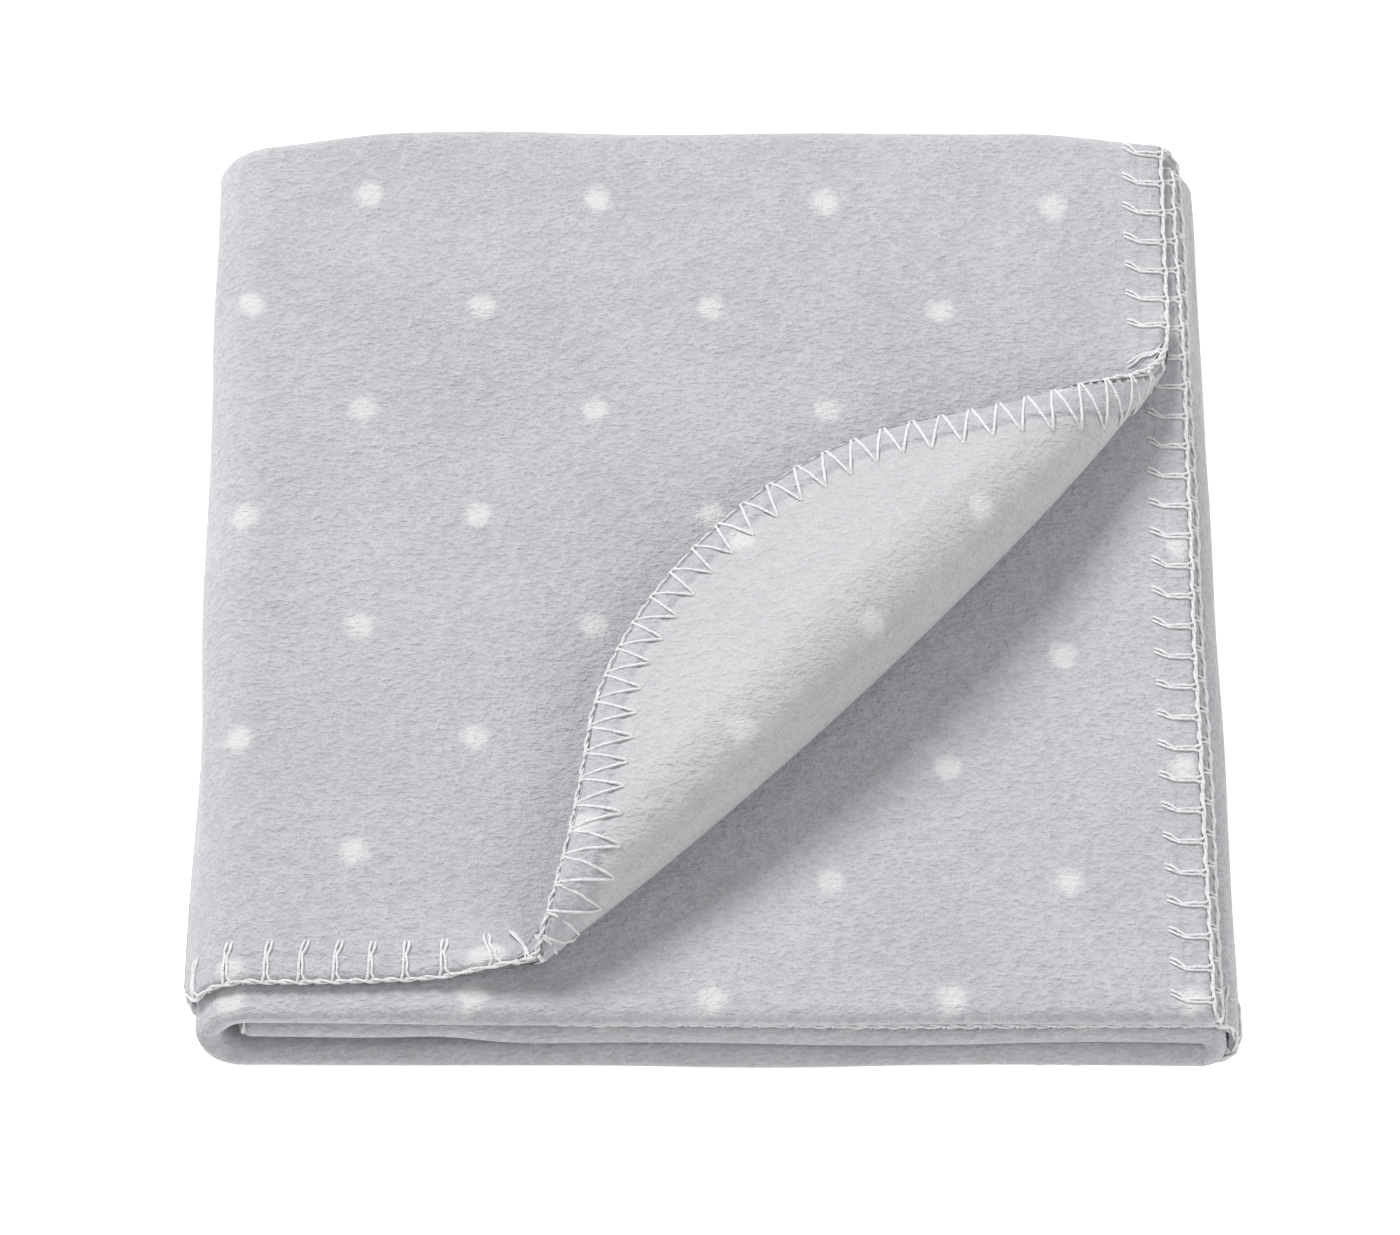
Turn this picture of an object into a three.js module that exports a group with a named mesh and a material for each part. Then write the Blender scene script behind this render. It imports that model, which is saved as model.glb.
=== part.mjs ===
// A child's fleece throw, folded and ready to pick up. It is one double-faced cloth with blanket stitch on
// every cut edge. The cloth is first folded in three from back to front, then in three from side to side
// like a letter, which makes nine layers. The front right corner of the top layer is turned back over a
// loose curl.
// Millimetres. X runs to the right, Y to the back and Z up; the throw rests on Z = 0.
import * as THREE from 'three';

// Driving sizes.
const foldedWidth = 302; // over the left and right folds
const foldedDepth = 290; // over the front rolls and the back folds
const clothThickness = 3.4; // fleece with its pile lightly pressed
const layerGap = 0.5; // air between two layers
const seamGap = 0.3; // between two neighbouring stretches of the cloth
const threadRadius = 1.1; // the twisted yarn that runs along a cut edge
const coverOuterInset = 17; // from the right fold in to the right cut edge of the cover's outer layer
const coverMiddleInset = 11; // the same, of its middle layer
const coverInnerInset = 8.5; // the same, of its inner layer
const coverFrontInset = 11; // from the front rolls back to the front cut edge of the cover's outer layer
const tuckedFrontInset = 6; // the same, of the tucked third's outer layer
const baseFrontInset = 5; // the same, of the base's outer layer
const turnedRightEdge = 208; // length of right cut edge that the turned corner takes up, to the square corner
const turnedFrontEdge = 198; // the same, of front cut edge
const cornerRounding = 99; // radius of the throw's corner as cut
const curlRadius = 17; // of the curl at the middle of the turned corner
const curlEndRadius = 3.2; // of the same curl where it dies into the cut edges
const curlFullness = 0.74; // below 1 keeps the curl full towards its ends
const flapSlope = 0.3; // radians that the turned flap slopes down past level
const cornerClearance = 4.4; // from the turned corner to the straight yarn beside it

// Layers, counted upwards from the floor.
const layerPitch = clothThickness + layerGap;
const baseLayers = { outer: 0, middle: 1, inner: 2 };
const tuckedLayers = { inner: 3, middle: 4, outer: 5 };
const coverLayers = { inner: 6, middle: 7, outer: 8 };
const layerHeight = (layer) => clothThickness / 2 + layer * layerPitch;

// Centres of the folds. The back folds wrap the middle layer; the front rolls join the middle and inner ones.
const backFoldRadius = layerPitch;
const frontRollRadius = layerPitch / 2;
const leftFoldLayer = (coverLayers.outer + baseLayers.outer) / 2;
const rightFoldLayer = (tuckedLayers.outer + baseLayers.outer) / 2;
const leftFoldX = -foldedWidth / 2 + leftFoldLayer * layerPitch + clothThickness / 2;
const rightFoldX = foldedWidth / 2 - rightFoldLayer * layerPitch - clothThickness / 2;
const backFoldY = foldedDepth / 2 - backFoldRadius - clothThickness / 2;
const frontRollY = -foldedDepth / 2 + frontRollRadius + clothThickness / 2;
const coverOuterEnd = foldedWidth / 2 - coverOuterInset;
const coverMiddleEnd = foldedWidth / 2 - coverMiddleInset;
const coverInnerEnd = foldedWidth / 2 - coverInnerInset;
const coverFrontEdge = -foldedDepth / 2 + coverFrontInset;
const tuckedFrontEdge = -foldedDepth / 2 + tuckedFrontInset;
const baseFrontEdge = -foldedDepth / 2 + baseFrontInset;
const turnPointBack = coverFrontEdge + turnedRightEdge;
const turnPointLeft = coverOuterEnd - turnedFrontEdge;
const middleBackEdge = backFoldY - threadRadius;
const tuckedEnd = leftFoldX + clothThickness;
const threadOffset = seamGap + threadRadius;
const cornerThreadOffset = threadOffset + seamGap; // the turned edge leans, so its yarn stands further off

// How finely curved pieces are divided.
const foldSteps = 14; // round a side fold
const rollSteps = 6; // round a front roll or back fold
const ringSteps = 12; // round the section of a side fold
const yarnSides = 4; // round half a turn of yarn
const curlFaces = { along: 36, across: 14 };
const flapFaces = { along: 30, across: 5 };
const cornerYarnPoints = 40;
const cornerYarnSteps = 60;
const flapEndStep = 1; // how closely the two ends of the flap are found

const FLEECE = { color: 0xcdced2, roughness: 0.95, metalness: 0 };
const YARN = { color: 0xeeeff0, roughness: 0.7, metalness: 0 };

const part = new THREE.Group();
part.name = 'folded_throw_blanket';

function addPiece(name, geometry, finish) {
  const mesh = new THREE.Mesh(geometry, new THREE.MeshStandardMaterial(finish));
  mesh.name = name;
  part.add(mesh);
}

// Turns a shape drawn in two world directions, and pushed out along a third, into place.
function orient(geometry, across, up, along) {
  return geometry.applyMatrix4(new THREE.Matrix4().makeBasis(across, up, along));
}

const X = new THREE.Vector3(1, 0, 0);
const Y = new THREE.Vector3(0, 1, 0);
const Z = new THREE.Vector3(0, 0, 1);

// A flat stretch of cloth with the given corners, in one layer.
function flatPanel(corners, layer) {
  const outline = new THREE.Shape(corners.map(([x, y]) => new THREE.Vector2(x, y)));
  const panel = new THREE.ExtrudeGeometry(outline, { depth: clothThickness, bevelEnabled: false });
  return panel.translate(0, 0, layerHeight(layer) - clothThickness / 2);
}

function rectangle(left, right, front, back) {
  return [
    [left, front],
    [right, front],
    [right, back],
    [left, back],
  ];
}

// The cross-section of cloth bent through half a turn; it bulges to the side where facing points.
function halfRing(radius, facing) {
  const outer = radius + clothThickness / 2;
  const inner = radius - clothThickness / 2;
  const from = facing > 0 ? -Math.PI / 2 : Math.PI / 2;
  const ring = new THREE.Shape();
  ring.absarc(0, 0, outer, from, from + Math.PI, false);
  ring.absarc(0, 0, inner, from + Math.PI, from, true);
  return ring;
}

// A bend that runs left to right and joins two layers, around the height halfway between them.
function bendAlongX(radius, facing, left, right, y, layer) {
  const ring = halfRing(radius, facing);
  const extrusion = { depth: right - left, bevelEnabled: false, curveSegments: rollSteps };
  const bend = new THREE.ExtrudeGeometry(ring, extrusion);
  return orient(bend, Y, Z, X).translate(left, y, layerHeight(layer));
}

// A bend that runs front to back and joins two layers, around the height halfway between them.
function bendAlongY(radius, facing, front, back, x, layer) {
  const ring = halfRing(radius, facing);
  const extrusion = { depth: back - front, bevelEnabled: false, curveSegments: ringSteps };
  const bend = new THREE.ExtrudeGeometry(ring, extrusion);
  return orient(bend, X, Z, Y.clone().negate()).translate(x, back, layerHeight(layer));
}

// Half a turn in the XZ plane, upwards round a right fold or downwards round a left one.
class FoldPath extends THREE.Curve {
  constructor(radius, facing, x, y, layer) {
    super();
    this.radius = radius;
    this.start = facing > 0 ? -Math.PI / 2 : Math.PI / 2;
    this.centre = new THREE.Vector3(x, y, layerHeight(layer));
  }

  getPoint(t, target = new THREE.Vector3()) {
    const angle = this.start + Math.PI * t;
    return target.set(Math.cos(angle), 0, Math.sin(angle)).multiplyScalar(this.radius).add(this.centre);
  }
}

// A front roll or back fold carried round a left or right fold. Its section opens to the inside of the throw.
function bendRoundFold(bendRadius, bendFacing, foldRadius, foldFacing, x, y, layer) {
  const extrudePath = new FoldPath(foldRadius, foldFacing, x, y, layer);
  const section = halfRing(bendRadius, -bendFacing);
  return new THREE.ExtrudeGeometry(section, { extrudePath, steps: foldSteps, curveSegments: rollSteps });
}

// Yarn along a cut edge, following any curve.
function yarnAlong(curve, steps) {
  const section = new THREE.Shape().absarc(0, 0, threadRadius, 0, 2 * Math.PI, false);
  return new THREE.ExtrudeGeometry(section, { extrudePath: curve, steps, curveSegments: yarnSides });
}

function straightYarn(from, to) {
  return yarnAlong(new THREE.LineCurve3(new THREE.Vector3(...from), new THREE.Vector3(...to)), 1);
}

// One third of the width: three flat layers, the back fold round the middle one, and the roll at the front.
function addThird(name, layers, left, ends, frontEdge, outerCorners) {
  const front = frontRollY + seamGap;
  const back = backFoldY - seamGap;
  const middleBack = middleBackEdge - threadOffset;
  const outer = outerCorners ?? rectangle(left, ends.outer, frontEdge, back);
  addPiece(`${name}_outer_panel`, flatPanel(outer, layers.outer), FLEECE);
  const middle = rectangle(left, ends.middle, front, middleBack);
  addPiece(`${name}_middle_panel`, flatPanel(middle, layers.middle), FLEECE);
  const inner = rectangle(left, ends.inner, front, back);
  addPiece(`${name}_inner_panel`, flatPanel(inner, layers.inner), FLEECE);
  const foldRight = Math.min(ends.outer, ends.inner);
  const backFold = bendAlongX(backFoldRadius, 1, left, foldRight, backFoldY, layers.middle);
  addPiece(`${name}_back_fold`, backFold, FLEECE);
  const rollRight = Math.min(ends.middle, ends.inner);
  const rollLayer = (layers.middle + layers.inner) / 2;
  const frontRoll = bendAlongX(frontRollRadius, -1, left, rollRight, frontRollY, rollLayer);
  addPiece(`${name}_front_roll`, frontRoll, FLEECE);
}

// A left or right fold: the same five stretches of cloth as a third, bent round one axis.
function addSideFold(name, upper, facing, x, layer, frontEdge) {
  const front = frontRollY + seamGap;
  const back = backFoldY - seamGap;
  const radiusOf = (role) => (upper[role] - layer) * layerPitch;
  const outer = bendAlongY(radiusOf('outer'), facing, frontEdge, back, x, layer);
  addPiece(`${name}_outer`, outer, FLEECE);
  const middle = bendAlongY(radiusOf('middle'), facing, front, middleBackEdge - threadOffset, x, layer);
  addPiece(`${name}_middle`, middle, FLEECE);
  const inner = bendAlongY(radiusOf('inner'), facing, front, back, x, layer);
  addPiece(`${name}_inner`, inner, FLEECE);
  const rollRadius = (radiusOf('middle') + radiusOf('inner')) / 2;
  const roll = bendRoundFold(frontRollRadius, -1, rollRadius, facing, x, frontRollY, layer);
  addPiece(`${name}_front_roll`, roll, FLEECE);
  const backFold = bendRoundFold(backFoldRadius, 1, radiusOf('middle'), facing, x, backFoldY, layer);
  addPiece(`${name}_back_fold`, backFold, FLEECE);
  const frontYarn = new FoldPath(radiusOf('outer'), facing, x, frontEdge - threadOffset, layer);
  addPiece(`${name}_front_stitching`, yarnAlong(frontYarn, foldSteps), YARN);
  const backYarn = new FoldPath(radiusOf('middle'), facing, x, middleBackEdge, layer);
  addPiece(`${name}_back_stitching`, yarnAlong(backYarn, foldSteps), YARN);
}

// The turned corner. Its cloth is measured along the turn line, from the right cut edge to the front one,
// and across it towards the corner.
const turnStart = new THREE.Vector2(coverOuterEnd, turnPointBack);
const turnEnd = new THREE.Vector2(turnPointLeft, coverFrontEdge);
const turnLength = turnStart.distanceTo(turnEnd);
const turnAlong = turnEnd.clone().sub(turnStart).normalize();
const turnAcross = new THREE.Vector2(-turnAlong.y, turnAlong.x);
const flapAngle = Math.PI + flapSlope;

// How far the cloth reaches past the turn line, up to the rounded corner grown by a margin.
function reachAt(along, margin = 0) {
  const foot = turnAlong.clone().multiplyScalar(along).add(turnStart);
  const toRightEdge = (coverOuterEnd + margin - foot.x) / turnAcross.x;
  const toFrontEdge = (foot.y - coverFrontEdge + margin) / -turnAcross.y;
  const straight = Math.min(toRightEdge, toFrontEdge);
  const centre = new THREE.Vector2(coverOuterEnd - cornerRounding, coverFrontEdge + cornerRounding);
  const fromCentre = foot.clone().sub(centre);
  const half = fromCentre.dot(turnAcross);
  const radius = cornerRounding + margin;
  const root = half * half - fromCentre.lengthSq() + radius * radius;
  if (root < 0) return straight;
  const reach = Math.sqrt(root) - half;
  const hit = turnAcross.clone().multiplyScalar(reach).add(foot);
  const onArc = hit.x > centre.x && hit.y < centre.y;
  return onArc ? Math.min(straight, reach) : straight;
}

function curlRadiusAt(along) {
  const share = along / turnLength;
  const fullness = Math.pow(4 * share * (1 - share), curlFullness);
  return curlEndRadius + (curlRadius - curlEndRadius) * fullness;
}

// A point of the turned cloth. The offset is from the middle of the cloth, towards the inside of the curl.
function turnedPoint(along, across, offset) {
  const radius = curlRadiusAt(along);
  const angle = Math.min(across / radius, flapAngle);
  const past = Math.max(across - radius * flapAngle, 0);
  const out = (radius - offset) * Math.sin(angle) + past * Math.cos(angle);
  const rise = radius - (radius - offset) * Math.cos(angle) + past * Math.sin(angle);
  const foot = turnAlong.clone().multiplyScalar(along).add(turnStart);
  const under = foot.add(turnAcross.clone().multiplyScalar(out));
  return new THREE.Vector3(under.x, under.y, layerHeight(coverLayers.outer) + rise);
}

// A bent sheet: a flat block of many faces, each of whose points is carried to its place in the turned cloth.
function turnedSheet(startAlong, endAlong, nearSide, farSide, faces) {
  const sheet = new THREE.BoxGeometry(1, 1, 1, faces.along, faces.across, 1);
  const position = sheet.getAttribute('position');
  for (let i = 0; i < position.count; i += 1) {
    const along = THREE.MathUtils.lerp(startAlong, endAlong, position.getX(i) + 0.5);
    const across = THREE.MathUtils.lerp(nearSide(along), farSide(along), position.getY(i) + 0.5);
    const point = turnedPoint(along, across, position.getZ(i) * clothThickness);
    position.setXYZ(i, point.x, point.y, point.z);
  }
  sheet.computeVertexNormals();
  return sheet;
}

function addTurnedCorner() {
  const curlStart = clothThickness;
  const curlEnd = turnLength - clothThickness;
  const curlArc = (along) => curlRadiusAt(along) * flapAngle;
  const curlFar = (along) => Math.min(curlArc(along), reachAt(along));
  const curl = turnedSheet(curlStart, curlEnd, () => seamGap, curlFar, curlFaces);
  addPiece('corner_curl', curl, FLEECE);

  const flapMargin = clothThickness + seamGap;
  const hasFlap = (along) => reachAt(along) - curlArc(along) > flapMargin;
  let flapStart = curlStart;
  while (!hasFlap(flapStart)) flapStart += flapEndStep;
  let flapEnd = curlEnd;
  while (!hasFlap(flapEnd)) flapEnd -= flapEndStep;
  const flapNear = (along) => curlArc(along) + seamGap;
  const flap = turnedSheet(flapStart, flapEnd, flapNear, (along) => reachAt(along), flapFaces);
  addPiece('corner_flap', flap, FLEECE);

  const yarnPoints = Array.from({ length: cornerYarnPoints + 1 }, (_, i) => {
    const along = THREE.MathUtils.lerp(curlStart, curlEnd, i / cornerYarnPoints);
    return turnedPoint(along, reachAt(along, cornerThreadOffset), 0);
  });
  addPiece('corner_stitching', yarnAlong(new THREE.CatmullRomCurve3(yarnPoints), cornerYarnSteps), YARN);
}

function addCover() {
  const left = leftFoldX + seamGap;
  const ends = { outer: coverOuterEnd, middle: coverMiddleEnd, inner: coverInnerEnd };
  const back = backFoldY - seamGap;
  const outerCorners = [
    [left, coverFrontEdge],
    [turnPointLeft, coverFrontEdge],
    [coverOuterEnd, turnPointBack],
    [coverOuterEnd, back],
    [left, back],
  ];
  addThird('cover', coverLayers, left, ends, coverFrontEdge, outerCorners);

  const yarnY = coverFrontEdge - threadOffset;
  const top = layerHeight(coverLayers.outer);
  const front = straightYarn([left, yarnY, top], [turnPointLeft - cornerClearance, yarnY, top]);
  addPiece('cover_front_stitching', front, YARN);
  const edges = [
    ['outer', turnPointBack + cornerClearance, back],
    ['middle', frontRollY, middleBackEdge - threadOffset],
    ['inner', frontRollY, back],
  ];
  for (const [role, frontEnd, backEnd] of edges) {
    const x = ends[role] + threadOffset;
    const z = layerHeight(coverLayers[role]);
    addPiece(`cover_${role}_end_stitching`, straightYarn([x, frontEnd, z], [x, backEnd, z]), YARN);
  }
  addMiddleBackYarn('cover', coverLayers, left, coverOuterEnd);
}

function addTuckedThird() {
  const right = rightFoldX - seamGap;
  const ends = { outer: right, middle: right, inner: right };
  addThird('tucked', tuckedLayers, tuckedEnd, ends, tuckedFrontEdge);
  addFrontYarn('tucked', tuckedLayers, tuckedFrontEdge, tuckedEnd, right);
  for (const role of ['outer', 'middle', 'inner']) {
    const x = tuckedEnd - threadOffset;
    const z = layerHeight(tuckedLayers[role]);
    const back = role === 'middle' ? middleBackEdge - threadOffset : backFoldY;
    addPiece(`tucked_${role}_end_stitching`, straightYarn([x, tuckedFrontEdge, z], [x, back, z]), YARN);
  }
  addMiddleBackYarn('tucked', tuckedLayers, tuckedEnd, right);
}

function addBase() {
  const left = leftFoldX + seamGap;
  const right = rightFoldX - seamGap;
  const ends = { outer: right, middle: right, inner: right };
  addThird('base', baseLayers, left, ends, baseFrontEdge);
  addFrontYarn('base', baseLayers, baseFrontEdge, left, right);
  addMiddleBackYarn('base', baseLayers, left, right);
}

function addFrontYarn(name, layers, frontEdge, left, right) {
  const y = frontEdge - threadOffset;
  const z = layerHeight(layers.outer);
  addPiece(`${name}_front_stitching`, straightYarn([left, y, z], [right, y, z]), YARN);
}

// The cut edge of a middle layer is hidden inside its back fold.
function addMiddleBackYarn(name, layers, left, right) {
  const y = middleBackEdge;
  const z = layerHeight(layers.middle);
  addPiece(`${name}_back_stitching`, straightYarn([left, y, z], [right, y, z]), YARN);
}

addBase();
addSideFold('right_fold', tuckedLayers, 1, rightFoldX, rightFoldLayer, tuckedFrontEdge);
addTuckedThird();
addSideFold('left_fold', coverLayers, -1, leftFoldX, leftFoldLayer, coverFrontEdge);
addCover();
addTurnedCorner();

export default part;
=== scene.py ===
"""A folded fleece throw in a pale studio.

The throw is one double-faced cloth with blanket stitch on every cut edge. It is folded in three from back
to front and in three from side to side, and its front right corner is turned back over a loose curl. The
cloth and its yarn are placed by one folding map, in millimetres: X to the right, Y to the back, Z up.
"""

import logging
import math
from collections.abc import Callable, Iterator
from dataclasses import dataclass, field
from enum import Enum

import bmesh
import bpy
from mathutils import Matrix, Vector, noise


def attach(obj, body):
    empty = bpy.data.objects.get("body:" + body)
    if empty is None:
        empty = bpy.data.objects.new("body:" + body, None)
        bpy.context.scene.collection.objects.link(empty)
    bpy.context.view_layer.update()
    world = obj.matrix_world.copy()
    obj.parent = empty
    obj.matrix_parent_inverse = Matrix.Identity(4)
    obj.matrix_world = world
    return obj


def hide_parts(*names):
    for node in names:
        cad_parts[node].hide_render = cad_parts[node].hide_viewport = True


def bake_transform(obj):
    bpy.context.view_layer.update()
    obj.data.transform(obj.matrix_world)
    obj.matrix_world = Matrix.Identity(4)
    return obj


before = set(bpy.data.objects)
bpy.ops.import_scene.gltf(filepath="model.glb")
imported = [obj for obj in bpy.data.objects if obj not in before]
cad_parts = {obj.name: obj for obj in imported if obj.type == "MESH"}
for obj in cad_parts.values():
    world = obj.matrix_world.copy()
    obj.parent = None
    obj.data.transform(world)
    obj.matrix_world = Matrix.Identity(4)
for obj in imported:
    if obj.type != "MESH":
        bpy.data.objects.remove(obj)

MM = 0.001
HALF_TURN = math.pi
QUARTER_TURN = math.pi / 2

# Seed of the uneven stitches, so that every run makes the same ones.
STITCH_SEED = 7

log = logging.getLogger("throw")


# ---------------------------------------------------------------------------------------------------------
# How the throw is folded
# ---------------------------------------------------------------------------------------------------------


class Lie(Enum):
    """Where a stretch of the cloth lies, along its width from the top of the stack to the middle."""

    COVER = "cover"
    LEFT_FOLD = "left fold"
    BASE = "base"
    RIGHT_FOLD = "right fold"
    TUCKED = "tucked"


class Course(Enum):
    """Which part of the fold in three a stretch belongs to, along the cloth's length."""

    OUTER = "outer layer"
    BACK_FOLD = "back fold"
    INNER = "inner layer"
    FRONT_ROLL = "front roll"
    MIDDLE = "middle layer"


class Side(Enum):
    """The two faces of the cloth. The dotted face shows on top of the folded throw."""

    DOTTED = 1.0
    REVERSE = -1.0


def smooth(value: float) -> float:
    """Eases a value from 0 to 1 and holds it there beyond both ends."""
    held = min(max(value, 0.0), 1.0)
    return held * held * (3 - 2 * held)


def hump(distance: float, spread: float) -> float:
    """Returns 1 at no distance, dying away over about twice the spread."""
    return math.exp(-((distance / spread) ** 2))


@dataclass(frozen=True)
class Ramp:
    """A stretch over which an effect comes in.

    Attributes:
        start: Where it starts.
        end: Where it is full. This may lie on either side of the start.
    """

    start: float
    end: float

    def at(self, value: float) -> float:
        """Returns how much of the effect there is at a value, from 0 to 1."""
        return smooth((value - self.start) / (self.end - self.start))

    def straight(self, value: float) -> float:
        """Returns the same without easing it in and out."""
        return min(max((value - self.start) / (self.end - self.start), 0.0), 1.0)


# Where each kind of slack comes in: X from left to right, Y from front to back, Z upwards.
NEAR_END = Ramp(90, 140)
NEAR_SIDE = Ramp(95, 145)
PUFF_LEFT = Ramp(-150, -95)
PUFF_RIGHT = Ramp(92, 140)
PUFF_START = Ramp(40, 100)
PUFF_END = Ramp(100, 140)
SLID = Ramp(100, 145)
SLUMP_FRONT = Ramp(-60, -135)
SLUMP_LOW = Ramp(18, 3)
SKEW_LOW = Ramp(25, 19)
SKEW_RIGHT = Ramp(20, 130)
SKEW_BACK = Ramp(-130, 140)
SPREAD_LEFT = Ramp(-125, -145)
SPREAD_LOW = Ramp(23, 15)
SPREAD_FRONT = Ramp(-40, -130)

# Where the waves are read in the noise. The sides and the ends have a middle value and a step from it, which
# is taken one way on one side and the other way on the other.
WAVE_SEED = 3.1
SIDE_SEED = (1.3, 5.0)
END_SEED = (7.7, 4.0)


@dataclass(frozen=True)
class Slack:
    """The small waves that keep hand-folded cloth from lying dead flat.

    Attributes:
        wave: Height of the slow waves over the top of the stack.
        wander: How far the folded ends wander in and out.
        pulled: How far the turned corner pulls the top layer's front edge sideways, back and up.
        reach: How far along the edge this reaches.
        puff: How far the springy back folds raise the top layer.
        slid: How far the back folds have slid backwards.
        slump: How far the lowest front roll has slid forwards.
        skew: How far the right fold is pulled in at the back.
        spread: How far the left fold spreads outwards at the front.
        stack: Height of the folded stack without the turned corner.
        top_share: How much of the wave a point above the stack may have.
        right_end_share: How much of the pull's height the right end of the turn line has.
        flat_right: How much of the back folds' rise is lost at the right.
        flat_back: How much of it is lost at the very back.
        wave_lengths: Length of the slow waves, left to right and front to back.
        side_lengths: Length of the wander of the sides, front to back and upwards.
        end_lengths: Length of the wander of the ends, left to right and upwards.
    """

    wave: float = 1.1
    wander: float = 1.3
    pulled: Vector = field(default_factory=lambda: Vector((7.0, 2.5, 6.0)))
    reach: float = 11.0
    puff: float = 3.4
    slid: float = 4.4
    slump: float = 4.6
    skew: float = 6.2
    spread: float = 2.4
    stack: float = 35.0
    top_share: float = 1.2
    right_end_share: float = 0.5
    flat_right: float = 0.85
    flat_back: float = 0.3
    wave_lengths: tuple[float, float] = (95.0, 80.0)
    side_lengths: tuple[float, float] = (58.0, 8.0)
    end_lengths: tuple[float, float] = (62.0, 9.0)

    def settle(self, point: Vector) -> Vector:
        """Moves a point of the stack with the slow waves.

        Args:
            point: The point in the neatly folded throw.

        Returns:
            The point in the relaxed throw.
        """
        share = min(max(point.z / self.stack, 0.0), self.top_share)
        wave_x, wave_y = self.wave_lengths
        wave = self.wave * noise.noise(Vector((point.x / wave_x, point.y / wave_y, WAVE_SEED)))
        puff, slid = self._back(point)
        return Vector(
            (
                point.x + self._wander_x(point) - self._sideways(point),
                point.y + self._wander_y(point) - self._slumped(point) + slid,
                point.z + share * (wave + puff),
            )
        )

    def _wander_x(self, point: Vector) -> float:
        """Returns how far the folds at the two sides wander in and out."""
        along, up = self.side_lengths
        middle, step = SIDE_SEED
        seed = middle + math.copysign(step, point.x)
        wander = noise.noise(Vector((point.z / up, point.y / along, seed)))
        return self.wander * NEAR_SIDE.at(abs(point.x)) * wander

    def _wander_y(self, point: Vector) -> float:
        """Returns how far the folds at the two ends wander in and out."""
        along, up = self.end_lengths
        middle, step = END_SEED
        seed = middle + math.copysign(step, point.y)
        wander = noise.noise(Vector((point.x / along, seed, point.z / up)))
        return self.wander * NEAR_END.at(abs(point.y)) * wander

    def _back(self, point: Vector) -> tuple[float, float]:
        """Returns how far the back folds raise a point, and how far they have slid backwards there."""
        raised = PUFF_LEFT.at(point.x) * (1 - self.flat_right * PUFF_RIGHT.at(point.x))
        along_length = PUFF_START.at(point.y) * (1 - self.flat_back * PUFF_END.at(point.y))
        return self.puff * raised * along_length, self.slid * raised * SLID.at(point.y)

    def _slumped(self, point: Vector) -> float:
        """Returns how far the lowest front roll has slid forwards."""
        return self.slump * SLUMP_FRONT.at(point.y) * SLUMP_LOW.at(point.z)

    def _sideways(self, point: Vector) -> float:
        """Returns how far to the left the right fold is pulled in, or the left fold spreads."""
        skewed = SKEW_LOW.at(point.z) * SKEW_RIGHT.at(point.x) * SKEW_BACK.straight(point.y)
        spread = SPREAD_LEFT.at(point.x) * SPREAD_LOW.at(point.z) * SPREAD_FRONT.at(point.y)
        return self.skew * skewed + self.spread * spread

    def pull(self, x: float, y: float, front: Vector, right: Vector) -> Vector:
        """Returns how the top layer is drawn up beside the two ends of the turn line.

        Args:
            x: Place on the top layer, left to right.
            y: Place on the top layer, front to back.
            front: The end of the turn line at the front edge.
            right: The end of the turn line at the right edge.
        """
        at_front = hump(math.hypot(x - front.x, y - front.y), self.reach)
        at_right = hump(math.hypot(x - right.x, y - right.y), self.reach)
        return self.pulled * at_front + Vector((0, 0, self.right_end_share * self.pulled.z * at_right))


# Shares of the way round the left fold between which the edge inside it steps back.
RECESS_IN = Ramp(0.35, 0.6)
RECESS_OUT = Ramp(1.0, 0.75)

# Where the layers under it lift the tucked third: by how far its corner has stepped back, and by Y.
LIFT_CORNER = Ramp(0, 12)
LIFT_FRONT = Ramp(-95, -135)

# Where the print is drawn forwards: by the distance in from the left fold, and by Y.
DRAWN_LEFT = Ramp(-12, 0)
DRAWN_BACK = Ramp(20, 110)

# How much of a rounded corner is rounded away before it meets the side edge.
ROUNDED_AWAY = 0.97


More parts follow.
